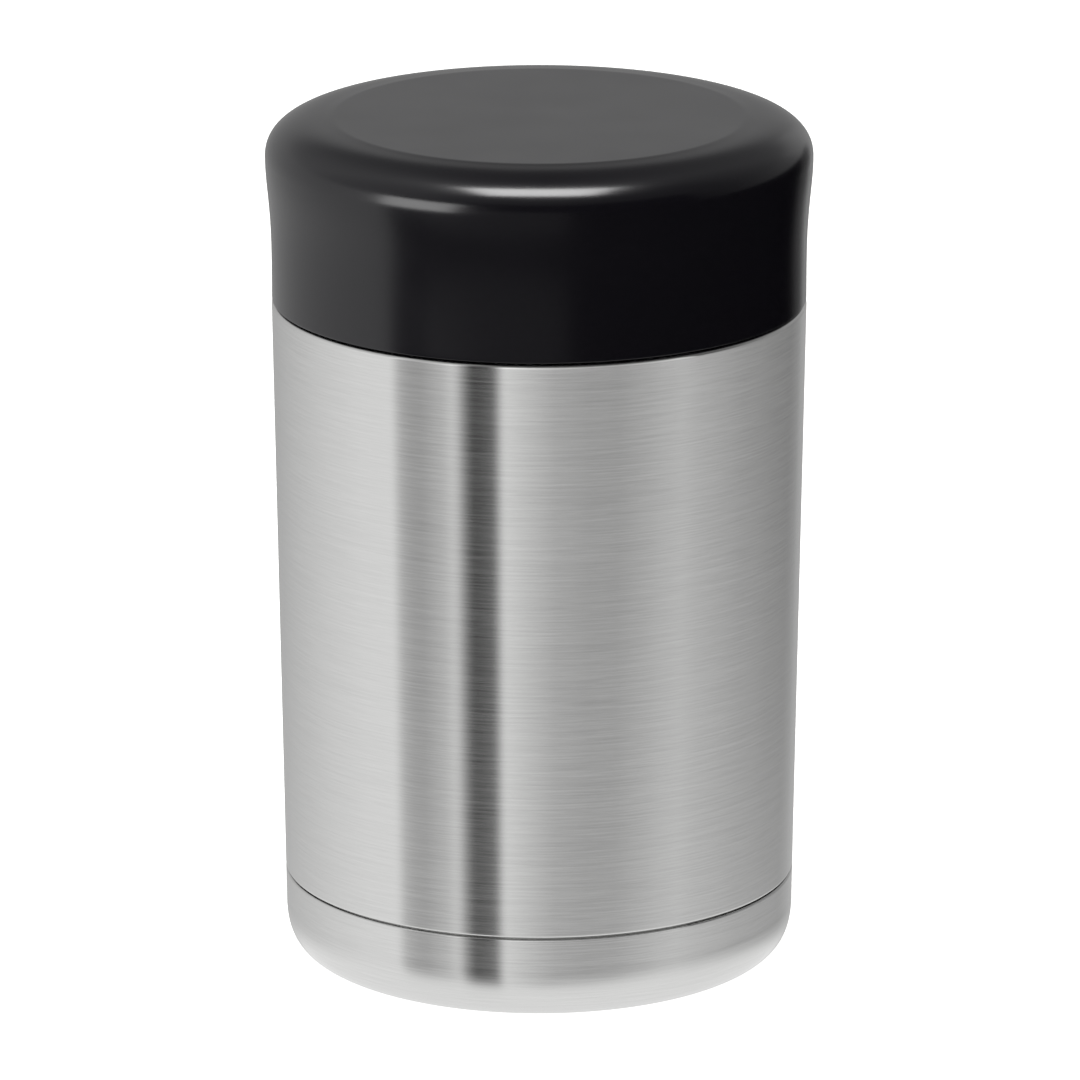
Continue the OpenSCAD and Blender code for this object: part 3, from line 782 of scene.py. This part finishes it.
class JAR_OT_stopper_cover(bpy.types.Operator):
    """Stopper's cover: rounded flange, finger recess, grip bar and the button's pocket"""

    bl_idname = "jar.stopper_cover"
    bl_label = "Stopper Cover"

    def execute(self, context):
        sizes = context.scene.jar_stopper
        wall, dish_r = sizes.wall, sizes.dish_radius
        under, deep = sizes.dish_floor - wall, sizes.dish_floor - 2 * wall
        outer_r, flange_top = context.scene.jar_body.neck_radius, sizes.flange_top
        low_edge, top_edge, dish_edge, dish_foot = 0.5 * MM, 0.9 * MM, 0.8 * MM, 1.5 * MM
        cover = turned("Stopper_Cover", (
            [(0.0, under), (dish_r + wall, under), (dish_r + wall, sizes.flange_height)]
            + arc(outer_r - low_edge, sizes.flange_height + low_edge, low_edge, -90, 0, 4)
            + arc(outer_r - top_edge, flange_top - top_edge, top_edge, 0, 90, 6)
            + arc(dish_r + dish_edge, flange_top - dish_edge, dish_edge, 90, 180, 6)
            + arc(dish_r - dish_foot, sizes.dish_floor + dish_foot, dish_foot, 0, -90, 6)
            + [(0.0, sizes.dish_floor)]
        ))
        # The bar runs a little into the wall round the recess
        reach = dish_r + 0.6 * MM
        boss_r, boss_top = sizes.pocket_radius + wall, sizes.bar_top - 0.4 * MM
        guide_r, guide_top = sizes.guide_radius, sizes.pocket_floor + sizes.guide_height
        stem_hole_r = sizes.stem_radius + 0.15 * MM
        mouth, above = 0.5 * MM, sizes.bar_top + wall
        mouth_r = sizes.pocket_radius + mouth
        slot, slot_top, slot_reach = 0.6 * MM, guide_top + 1.0 * MM, guide_r - 0.4 * MM
        boss = [(0.0, under), (boss_r, under), (boss_r, boss_top), (0.0, boss_top)]
        # Round the stem's guide, with a rounded mouth, and with the stem's hole below
        pocket = (
            [(0.0, deep), (stem_hole_r, deep), (stem_hole_r, guide_top), (guide_r, guide_top)]
            + [(guide_r, sizes.pocket_floor), (sizes.pocket_radius, sizes.pocket_floor)]
            + arc(mouth_r, sizes.bar_top - mouth, mouth, 180, 90, 4)
            + [(mouth_r, above), (0.0, above)]
        )
        vent = [(-slot, deep), (slot, deep), (slot, slot_top), (-slot, slot_top)]
        for tool, how in (
            (self.bar("Grip_Bar", sizes, under, 0.0, reach), "UNION"),
            (self.bar("Bar_Hollow", sizes, deep, wall, dish_r - 2 * wall), "DIFFERENCE"),
            (turned("Pocket_Boss", boss, steps=SMALL_STEPS), "UNION"),
            (turned("Pocket", pocket, steps=SMALL_STEPS), "DIFFERENCE"),
            (self.prism("Vent_Slot", vent, slot_reach), "DIFFERENCE"),
        ):
            self.combine(context, cover, tool, how)
        smoothed(cover.data)
        seated(cover, "stopper", "stopper_plastic", "stopper_cover")
        return {"FINISHED"}

    def bar(self, name, sizes, low, inset, reach):
        """The grip bar, with rounded upper edges, or the smaller hollow in it."""
        half, ease = sizes.bar_width / 2 - inset, sizes.bar_rounding - inset / 2
        high = sizes.bar_top - inset
        section = (
            [(-half, low), (half, low)] + arc(half - ease, high - ease, ease, 0, 90, 8)
            + arc(ease - half, high - ease, ease, 90, 180, 8)
        )
        return self.prism(name, section, reach)

    @staticmethod
    def prism(name, section, reach):
        """A section in Y and Z, drawn out along X to both sides."""
        return capped(name, [[(x, y, z) for y, z in section] for x in (-reach, reach)])

    @staticmethod
    def combine(context, piece, tool, how):
        """Joins a tool to a piece, or cuts it away, and removes the tool."""
        change = piece.modifiers.new(how.title(), "BOOLEAN")
        change.object, change.operation, change.solver = tool, how, "EXACT"
        settled = piece.evaluated_get(context.evaluated_depsgraph_get())
        mesh = bpy.data.meshes.new_from_object(settled)
        if not mesh.polygons:
            raise RuntimeError("the stopper cover came out empty")
        piece.modifiers.clear()
        piece.data = mesh
        bpy.data.objects.remove(tool)


class JAR_OT_push_valve(bpy.types.Operator):
    """Push valve: dished button, stem, seal and coil spring"""

    bl_idname = "jar.push_valve"
    bl_label = "Push Valve"

    def execute(self, context):
        stem_r = context.scene.jar_stopper.stem_radius
        bore_r = stem_r + JOINT_GAP
        self.button(bore_r)

        low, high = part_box("valve_stem")
        ease, chamfer, head_z = 0.4 * MM, 0.3 * MM, low.z + 1.3 * MM
        stem = turned("Valve_Stem", (
            [(0.0, low.z)] + arc(high.x - ease, low.z + ease, ease, -90, 0, 4)
            + [(high.x, head_z), (stem_r, head_z), (stem_r, high.z - chamfer)]
            + [(stem_r - chamfer, high.z), (0.0, high.z)]
        ), steps=SMALL_STEPS)
        seated(stem, "push_valve", "stopper_plastic", "valve_stem")

        low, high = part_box("valve_seal")
        ease = 0.45 * MM
        washer = turned("Valve_Seal", (
            [(bore_r, low.z)] + arc(high.x - ease, low.z + ease, ease, -90, 0, 5)
            + arc(high.x - ease, high.z - ease, ease, 0, 90, 5) + [(bore_r, high.z)]
        ), steps=SMALL_STEPS)
        seated(washer, "push_valve", "silicone", "valve_seal")

        low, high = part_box("valve_spring")
        wire, travel = 0.3 * MM, 2.0 * MM
        coil = self.coil("Valve_Spring", high.x - wire, wire, low.z, high.z, 6)
        seated(coil, "stopper", "spring_steel", "valve_spring")
        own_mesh(coil)
        return {"FINISHED"}

    @staticmethod
    def button(bore_r):
        """The button: a cap with a rounded edge, dished for a fingertip, on a socket for the
        stem."""
        low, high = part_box("valve_button")
        r, top = high.x, high.z
        wall, edge, dish_start, dish_w, dish = 1.2 * MM, 1.0 * MM, 1.6 * MM, 3.6 * MM, 0.45 * MM
        socket_r, socket_z, socket_end = 3.5 * MM, top - 3.9 * MM, top - 0.56 * MM
        shares = [i / 8 for i in range(9)]
        piece = turned("Valve_Button", (
            [(bore_r, socket_z), (socket_r, socket_z), (socket_r, top - wall)]
            + [(r - wall, top - wall), (r - wall, low.z), (r, low.z)]
            + arc(r - edge, top - edge, edge, 0, 90, 8)
            + [(r - dish_start - dish_w * share, top - dish * (1 - math.cos(TURN / 4 * share)))
               for share in shares]
            + [(0.0, top - dish), (0.0, socket_end), (bore_r, socket_end)]
        ), steps=SMALL_STEPS)
        seated(piece, "push_valve", "lid_plastic", "valve_button")

    @staticmethod
    def coil(name, radius, wire, low, high, turns):
        """Round wire wound about Z, with its end turns closed up and its ends capped."""
        sides, per_turn = 12, 32
        # How much closer together the end turns lie than the others
        closing = 0.36
        count = turns * per_turn
        rings = []
        for i in range(count + 1):
            run = i / count
            z = low + wire + (high - low - 2 * wire) * (run - closing * math.sin(TURN * run) / TURN)
            a = TURN * i / per_turn
            ring = []
            for j in range(sides):
                b = TURN * j / sides
                out = radius + wire * math.cos(b)
                ring.append((out * math.cos(a), out * math.sin(a), z + wire * math.sin(b)))
            rings.append(ring)
        return capped(name, rings)


class JAR_OT_stopper_fillings(bpy.types.Operator):
    """Stopper's silicone ring and the foam sealed in the plug"""

    bl_idname = "jar.stopper_fillings"
    bl_label = "Stopper Seal and Foam"

    def execute(self, context):
        sizes = context.scene.jar_stopper
        low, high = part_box("stopper_seal")
        inner = sizes.plug_radius + JOINT_GAP
        tall = high.z - low.z
        lip = tall / 5
        groove_r, groove = high.x - 0.2 * MM, 0.75 * lip
        # Two rounded lips with a groove between them
        ring = turned("Stopper_Seal", (
            [(inner, low.z), (high.x - 2 * lip, low.z)]
            + arc(high.x - lip, low.z + lip, lip, -90, 60, 8)
            + arc(groove_r, low.z + tall / 2, groove, 220, 140, 6)
            + arc(high.x - lip, high.z - lip, lip, -60, 90, 8)
            + [(inner, high.z)]
        ))
        seated(ring, "stopper_riser", "silicone", "stopper_seal")

        low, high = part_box("stopper_foam")
        ease = 1.0 * MM
        hole = sizes.tube_radius + sizes.foam_gap
        step = sizes.recess_radius + sizes.wall + sizes.foam_gap
        step_z = low.z + sizes.recess_height
        block = turned("Stopper_Foam", (
            arc(step + ease, low.z + ease, ease, 180, 270, 5)
            + arc(high.x - ease, low.z + ease, ease, -90, 0, 5)
            + arc(high.x - ease, high.z - ease, ease, 0, 90, 5)
            + [(hole, high.z), (hole, step_z), (step, step_z)]
        ))
        seated(block, "stopper_lifter", "foam", "stopper_foam")
        return {"FINISHED"}


# ---- Lid ----


def lid_side(sizes, height):
    """Radius of the lid's side: upright at its foot, then flaring out."""
    share = (height - sizes.foot_height) / (sizes.wide_height - sizes.foot_height)
    flare = math.sin(TURN / 4 * share * share) ** 2
    return sizes.foot_radius + (sizes.wide_radius - sizes.foot_radius) * flare


class JAR_OT_lid_shell(bpy.types.Operator):
    """Outer wall of the black lid: flared side, rounded crown and flat top"""

    bl_idname = "jar.lid_shell"
    bl_label = "Lid Casing"

    def execute(self, context):
        sizes = context.scene.jar_lid
        wall, ease = sizes.wall, sizes.edge_rounding
        foot_r, foot_z = sizes.foot_radius, sizes.foot_height
        side_steps, crest_steps, inner_steps = 36, 90, 16
        side = [foot_z + (sizes.wide_height - foot_z) * i / side_steps
                for i in range(1, side_steps)]
        crown = (sizes.wide_height, sizes.wide_radius - sizes.flat_radius,
                 sizes.top_height - sizes.wide_height)
        crest = full_corner(sizes.flat_radius, *crown, sizes.crown_fullness, crest_steps)
        outside = (
            arc(foot_r - ease, foot_z + ease, ease, -90, 0, 6)
            + [(lid_side(sizes, z), z) for z in side]
            + [(r, z - self.fall(sizes, r)) for r, z in crest]
            + [(0.0, sizes.top_height)]
        )
        inner_flat = sizes.flat_radius - wall / 2
        inside = (
            [(foot_r - wall, foot_z)] + [(lid_side(sizes, z) - wall, z) for z in side[::4]]
            + full_corner(inner_flat, sizes.wide_height, sizes.wide_radius - wall - inner_flat,
                          crown[-1] - wall, sizes.crown_fullness, inner_steps)
            + [(0.0, sizes.top_height - wall)]
        )
        piece = turned("Lid_Casing", outside + inside[::-1], steps=LID_STEPS)
        seated(piece, "lid", "lid_plastic", "lid_shell")
        return {"FINISHED"}

    @staticmethod
    def fall(sizes, radius):
        """How far the crown falls at a radius, so that the disc's edge shows as a soft crease."""
        width = sizes.wide_radius - sizes.flat_radius
        share = (radius - sizes.flat_radius) / width
        onset = share / (share + sizes.disc_onset / width)
        return math.tan(sizes.disc_edge) * width * share * onset * (1 - share) ** 4


class JAR_OT_lid_cup(bpy.types.Operator):
    """Cup inside the lid, with the lid's thread"""

    bl_idname = "jar.lid_cup"
    bl_label = "Lid Cup"

    def execute(self, context):
        sizes = context.scene.jar_lid
        body = context.scene.jar_body
        threads = context.scene.jar_threads
        foot, bore, end = sizes.foot_height, sizes.cup_radius, sizes.cup_end
        outer, over = bore + sizes.cup_wall, end + sizes.cup_wall
        foot_r = sizes.foot_radius - sizes.wall - JOINT_GAP
        flange = corner = 3 * MM
        edge, ease = 0.4 * MM, 1.5 * MM
        # A bead round the bore holds the gasket
        bead, bead_z = 0.35 * MM, end - 3.45 * MM
        outside = (
            [(foot_r, foot), (foot_r, foot + flange), (outer, foot + flange)]
            + arc(outer - corner, over - corner, corner, 0, 90, 10)
            + [(0.0, over)]
        )
        inside = (
            arc(bore + edge, foot + edge, edge, -90, -180, 4)
            + rows(bore, foot + edge + ROW_START, bead_z - bead - ROW_START, threads)
            + arc(bore, bead_z, bead, -90, -270, 8)
            + arc(bore - ease, end - ease, ease, 0, 90, 8)
            + [(0.0, end)]
        )
        # Half a pitch from the neck's thread, so that the ridges lie in each other's grooves
        ridge = threaded(threads, body.shoulder_height + threads.neck_start, -1.0, 0.5,
                         (bore - ON_WALL, bore + ON_WALL), (foot + edge, bead_z - bead))
        piece = turned("Lid_Cup", outside + inside[::-1], ridge)
        seated(piece, "lid", "lid_plastic", "lid_cup")
        return {"FINISHED"}


class JAR_OT_lid_fillings(bpy.types.Operator):
    """Lid's silicone ring and its foam disc"""

    bl_idname = "jar.lid_fillings"
    bl_label = "Lid Gasket and Foam"

    def execute(self, context):
        low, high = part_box("lid_gasket")
        width, ease, edge = 4.0 * MM, 0.4 * MM, 1.5 * MM
        ring = turned("Lid_Gasket", (
            arc(high.x - width + ease, low.z + ease, ease, 180, 270, 4)
            + arc(high.x - ease, low.z + ease, ease, -90, 0, 4)
            + arc(high.x - edge, high.z - edge, edge, 0, 90, 6)
            + arc(high.x - width + ease, high.z - ease, ease, 90, 180, 4)
        ))
        seated(ring, "lid_riser", "silicone", "lid_gasket")

        low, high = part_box("lid_foam")
        edge = 0.6 * MM
        disc = turned("Lid_Foam", (
            [(0.0, low.z)]
            + arc(high.x - edge, low.z + edge, edge, -90, 0, 5)
            + [(high.x, (low.z + high.z) / 2)]
            + arc(high.x - edge, high.z - edge, edge, 0, 90, 5)
            + [(0.0, high.z)]
        ))
        seated(disc, "lid_lifter", "foam", "lid_foam")
        return {"FINISHED"}


# ---- Stage ----

# Headings in degrees, 0 towards the camera and plus to the right, each with a radiance
ROOM = [
    (-180, 0.44), (-164, 0.46), (-154, 0.51), (-128, 0.65), (-103, 0.80), (-84, 0.90),
    (-67, 0.93), (-60, 0.30), (-45, 0.10), (60, 0.05), (90, 0.12), (115, 0.24), (140, 0.36),
    (160, 0.41), (180, 0.44),
]
CEILING = [
    (-180, 0.08), (-165, 0.20), (-141, 0.45), (-122, 0.62), (-63, 0.50), (-47, 0.30),
    (-20, 0.16), (47, 0.12), (90, 0.12), (115, 0.22), (144, 0.28), (160, 0.20), (180, 0.08),
]
# Upright bands on the screens, which only the steel reflects
BANDS = [
    (-66, 0.84), (-62, 0.48), (-57, 0.37), (-52, 0.37), (-42, 0.57), (-37.5, 0.75), (-35, 0.58),
    (-33, 0.30), (-30, 0.07), (-28, 0.02), (-24, 0.06), (-21, 0.10), (-19, 0.19), (-17, 0.55),
    (-15, 0.85), (-13, 0.81), (-6, 0.69), (7, 0.49), (21, 0.395), (34, 0.36), (49, 0.435),
    (64, 0.55), (80, 0.455), (99, 0.34), (122, 0.27), (140, 0.25), (155, 0.36),
]
# Heights in degrees over which the room's walls turn into its ceiling
CEILING_START = (17, 27)
# How many degrees down the white table starts to show, by heading, and over how many more
TABLE_START = [
    (-180, 14.0), (-100, 16.0), (-66, 18.0), (-45, 21.0), (-24, 24.0), (0, 25.0), (24, 21.0),
    (55, 15.5), (100, 15.0), (150, 14.5), (180, 14.0),
]
TABLE_SPREAD = 15.0
TABLE_LEVEL = 0.98
# Light from all round on surfaces that don't reflect
EVEN_LIGHT = 0.3
# Name, first and last heading, lower and upper height in degrees
SCREENS = [("Front_Screen", -66, 70, -44, 35), ("Right_Screen", 70, 155, -44, 6)]
SCREEN_DISTANCE = 5.0
SCREEN_STEPS = 48
# Between these heights in degrees, the screens grow brighter by this much
SCREEN_RISE = (-4, 6)
SCREEN_GAIN = 1.7
# Name, heading, height angle, distance, width, height and radiance
LAMPS = [
    ("Overhead_Softbox", 0.0, 81.0, 1.2, 0.70, 0.55, 14.0),
    ("Left_Softbox", -51.0, 10.5, 1.2, 0.70, 0.62, 5.2),
    ("Right_Rear_Softbox", 152.0, 2.0, 1.2, 0.5, 0.9, 0.15),
    ("Front_Fill", -18.0, -8.0, 0.9, 1.0, 0.5, 0.16),
]
# Height that the lamps point at
AIM_HEIGHT = 0.155
BRUSHED_PIECES = ("Outer_Casing", "Base_Cup")
SENSOR_WIDTH = 36.0
# The jar stands 0.8 of 1080 pixels left of the picture's middle
SIDE_SHIFT = 0.8 / 1080
VIEW_END = 20.0


def heading_share(tree, way):
    """Heading of a direction: 0 at the back, through the left, the front (0.5) and the right."""
    parts = add_node(tree, "ShaderNodeSeparateXYZ", None, Vector=way).outputs
    back = add_node(tree, "ShaderNodeMath", {"operation": "MULTIPLY"}, _0=parts[1], _1=-1.0)
    angle = add_node(tree, "ShaderNodeMath", {"operation": "ARCTAN2"}, _0=parts[0], _1=back)
    return add_node(tree, "ShaderNodeMapRange", None, Value=angle, From_Min=-math.pi,
                    From_Max=math.pi)


def height_share(tree, way, heights, settings=None, **ends):
    """How far a direction has risen between two heights in degrees: 0 to 1, or between the
    given ends."""
    rise = add_node(tree, "ShaderNodeSeparateXYZ", None, Vector=way).outputs[2]
    low, high = [math.sin(math.radians(height)) for height in heights]
    return add_node(tree, "ShaderNodeMapRange", settings, Value=rise, From_Min=low,
                    From_Max=high, **ends)


def bands(tree, heading, stops):
    """Grey levels by heading, from (degrees, level) stops. Levels over 1 keep their value."""
    ramp = add_node(tree, "ShaderNodeValToRGB", None, Fac=heading)
    points = ramp.color_ramp.elements
    points.remove(points[-1])
    for k, (degrees, level) in enumerate(stops):
        share = degrees / 360 + 0.5
        point = points.new(share) if k else points[0]
        point.position = share
        point.color = opaque([level] * 3)
    return ramp


def over_table(tree, way, heading, walls):
    """The walls' colour, giving way to the white table below a height that varies by heading."""
    rise = add_node(tree, "ShaderNodeSeparateXYZ", None, Vector=way).outputs[2]
    angle = add_node(tree, "ShaderNodeMath", {"operation": "ARCSINE"}, _0=rise)
    down = add_node(tree, "ShaderNodeMath", {"operation": "MULTIPLY"}, _0=angle,
                    _1=-180 / math.pi)
    start = bands(tree, heading, TABLE_START)
    end = add_node(tree, "ShaderNodeMath", {"operation": "ADD"}, _0=start, _1=TABLE_SPREAD)
    share = add_node(tree, "ShaderNodeMapRange", {"interpolation_type": "SMOOTHSTEP"},
                     Value=down, From_Min=start, From_Max=end)
    return add_node(tree, "ShaderNodeMix", {"data_type": "RGBA"}, _0=share, _6=walls,
                    _7=opaque([TABLE_LEVEL] * 3))


class JAR_OT_studio(bpy.types.Operator):
    """Plain pale floor, soft studio light and the camera"""

    bl_idname = "jar.studio"
    bl_label = "Studio"

    def execute(self, context):
        studio = context.scene.jar_studio
        context.scene.view_settings.view_transform = "Standard"
        self.floor(studio)
        self.surroundings(context)
        self.screens(self.lit_group("Lit_Steel", "INCLUDE"))
        self.lamps(context, self.lit_group("Lit_Others", "EXCLUDE"))
        self.camera(context, studio)
        return {"FINISHED"}

    @staticmethod
    def lit_group(name, state):
        """A group of what a light reaches: the brushed pieces, or everything else."""
        group = bpy.data.collections.new(name)
        for piece in BRUSHED_PIECES:
            group.objects.link(bpy.data.objects[piece])
        for member in group.collection_objects:
            member.light_linking.link_state = state
        return group

    @staticmethod
    def floor(studio):
        """Opal acrylic table, lit from below, so that hardly any shadow shows on it."""
        material, tree = new_material("Backlit_Opal_Acrylic")
        clouds = stretched_noise(tree, around=40 * MM, up=40 * MM, detail=2.0)
        surface(material, studio.floor_colour, dark=0.99, tint=clouds, Roughness=0.9,
                Specular_IOR_Level=0.0, Emission_Strength=studio.floor_glow)
        glow = tree.nodes["Principled BSDF"].inputs
        tree.links.new(glow["Base Color"].links[0].from_socket, glow["Emission Color"])
        work = bmesh.new()
        half = studio.floor_size
        corners = [(-half, -half), (half, -half), (half, half), (-half, half)]
        work.faces.new([work.verts.new((x, y, 0.0)) for x, y in corners])
        piece = finished("Floor", work)
        piece.data.materials.append(material)
        # Reflections show the surroundings instead, so the lid stays as dark as in the picture
        piece.visible_glossy = False

    @staticmethod
    def surroundings(context):
        """Even white light on dull surfaces; for reflections, a room with a bright left side,
        darker front and right sides, a dim ceiling and a white table."""
        world = bpy.data.worlds.new("Studio")
        world.use_nodes = True
        # The floor would stop light that is sampled from below it
        world.cycles.sampling_method = "NONE"
        tree = world.node_tree
        tree.nodes.clear()
        way = add_node(tree, "ShaderNodeTexCoord").outputs["Generated"]
        heading = heading_share(tree, way)
        up = height_share(tree, way, CEILING_START, {"interpolation_type": "SMOOTHSTEP"})
        walls = add_node(tree, "ShaderNodeMix", {"data_type": "RGBA"}, _0=up,
                         _6=bands(tree, heading, ROOM), _7=bands(tree, heading, CEILING))
        seen = over_table(tree, way, heading, walls)
        shine = add_node(tree, "ShaderNodeBackground", None, Color=seen, Strength=1.0)
        # The camera sees plain white where the floor ends
        sight = add_node(tree, "ShaderNodeLightPath").outputs
        white = add_node(tree, "ShaderNodeMapRange", None, Value=sight["Is Camera Ray"],
                         To_Min=EVEN_LIGHT, To_Max=1.0)
        even = add_node(tree, "ShaderNodeBackground", None, Color=opaque([1.0] * 3),
                        Strength=white)
        light = add_node(tree, "ShaderNodeMixShader", None, _0=sight["Is Glossy Ray"], _1=even,
                         _2=shine)
        add_node(tree, "ShaderNodeOutputWorld", Surface=light)
        context.scene.world = world

    @staticmethod
    def screens(receivers):
        """Curved screens far round the front and right. Only reflections see them: they light
        the steel in upright bands and keep the rest dark."""
        material, tree = new_material("Lit_Fabric_Screen")
        material.cycles.emission_sampling = "NONE"
        place = add_node(tree, "ShaderNodeTexCoord").outputs["Object"]
        way = add_node(tree, "ShaderNodeVectorMath", {"operation": "NORMALIZE"}, _0=place)
        heading = heading_share(tree, way)
        lit = over_table(tree, way, heading, bands(tree, heading, BANDS))
        # Brighter above, so that the shoulder and the lip catch a fine line of light
        brighter = height_share(tree, way, SCREEN_RISE, To_Min=1.0, To_Max=SCREEN_GAIN)
        glow = add_node(tree, "ShaderNodeEmission", None, Strength=brighter, Color=lit)
        add_node(tree, "ShaderNodeOutputMaterial", Surface=glow)
        for name, *angles in SCREENS:
            start, end, low, high = [math.radians(angle) for angle in angles]
            heights = [SCREEN_DISTANCE * math.tan(angle) for angle in (low, high)]
            work = bmesh.new()
            edges = []
            for i in range(SCREEN_STEPS + 1):
                a = start + (end - start) * i / SCREEN_STEPS
                x, y = SCREEN_DISTANCE * math.sin(a), -SCREEN_DISTANCE * math.cos(a)
                edges.append([work.verts.new((x, y, z)) for z in heights])
            for left, right in zip(edges, edges[1:]):
                work.faces.new((left[0], right[0], right[1], left[1]))
            piece = finished(name, work)
            piece.location.z = AIM_HEIGHT / 2
            piece.data.materials.append(material)
            for kind in ("camera", "diffuse", "transmission", "volume_scatter", "shadow"):
                setattr(piece, "visible_" + kind, False)
            piece.light_linking.receiver_collection = receivers

    @staticmethod
    def lamps(context, receivers):
        """Soft lamps for everything but the brushed steel."""
        for name, heading, height, distance, width, tall, radiance in LAMPS:
            lamp = bpy.data.lights.new(name, "AREA")
            lamp.shape = "RECTANGLE"
            lamp.size, lamp.size_y = width, tall
            lamp.energy = radiance * math.pi * width * tall
            side, rise = math.radians(heading), math.radians(height)
            way = Vector((math.sin(side) * math.cos(rise), -math.cos(side) * math.cos(rise),
                          math.sin(rise)))
            holder = bpy.data.objects.new(name, lamp)
            holder.location = Vector((0.0, 0.0, AIM_HEIGHT)) + way * distance
            holder.rotation_euler = (-way).to_track_quat("-Z", "Y").to_euler()
            holder.visible_camera = False
            holder.light_linking.receiver_collection = receivers
            context.scene.collection.objects.link(holder)

    @staticmethod
    def camera(context, studio):
        """The camera, in front of the jar and looking down at it a little."""
        lens = bpy.data.cameras.new("Camera")
        lens.lens = studio.focal_length
        lens.sensor_width = SENSOR_WIDTH
        lens.shift_x = SIDE_SHIFT
        lens.clip_end = VIEW_END
        holder = bpy.data.objects.new("Camera", lens)
        holder.location = (0.0, -studio.camera_distance, studio.camera_height)
        holder.rotation_euler = (math.pi / 2 - studio.camera_pitch, 0.0, 0.0)
        context.scene.collection.objects.link(holder)
        context.scene.camera = holder


# ---- The add-on ----

GROUPS = {
    "jar_body": SteelBodySizes,
    "jar_vessel": InnerVesselSizes,
    "jar_stopper": StopperSizes,
    "jar_lid": LidSizes,
    "jar_threads": ThreadSizes,
    "jar_finish": JarFinish,
    "jar_studio": StudioSettings,
}
OPERATORS = [
    JAR_OT_outer_shell, JAR_OT_base_cup, JAR_OT_inner_vessel, JAR_OT_vacuum_parts,
    JAR_OT_stopper_body, JAR_OT_stopper_cover, JAR_OT_push_valve, JAR_OT_stopper_fillings,
    JAR_OT_lid_shell, JAR_OT_lid_cup, JAR_OT_lid_fillings, JAR_OT_studio,
]


class JAR_PT_panel(bpy.types.Panel):
    """Sizes, colours and build steps of the food jar"""

    bl_label = "Food Jar"
    bl_idname = "JAR_PT_panel"
    bl_space_type = "VIEW_3D"
    bl_region_type = "UI"
    bl_category = "Food Jar"

    def draw(self, context):
        layout = self.layout
        for name, group in GROUPS.items():
            box = layout.box()
            box.label(text=name.replace("jar_", "").title())
            for field in group.__annotations__:
                box.prop(getattr(context.scene, name), field)
        for step in OPERATORS:
            layout.operator(step.bl_idname)


def register():
    for kind in (*GROUPS.values(), *OPERATORS, JAR_PT_panel):
        bpy.utils.register_class(kind)
    for name, group in GROUPS.items():
        setattr(bpy.types.Scene, name, bpy.props.PointerProperty(type=group))


def unregister():
    for name in GROUPS:
        delattr(bpy.types.Scene, name)
    for kind in reversed((*GROUPS.values(), *OPERATORS, JAR_PT_panel)):
        bpy.utils.unregister_class(kind)


def main():
    """Registers the add-on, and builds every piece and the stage."""
    register()
    bpy.ops.jar.outer_shell()
    bpy.ops.jar.base_cup()
    bpy.ops.jar.inner_vessel()
    bpy.ops.jar.vacuum_parts()
    bpy.ops.jar.stopper_body()
    bpy.ops.jar.stopper_cover()
    bpy.ops.jar.push_valve()
    bpy.ops.jar.stopper_fillings()
    bpy.ops.jar.lid_shell()
    bpy.ops.jar.lid_cup()
    bpy.ops.jar.lid_fillings()
    bpy.ops.jar.studio()


if __name__ == "__main__":
    main()
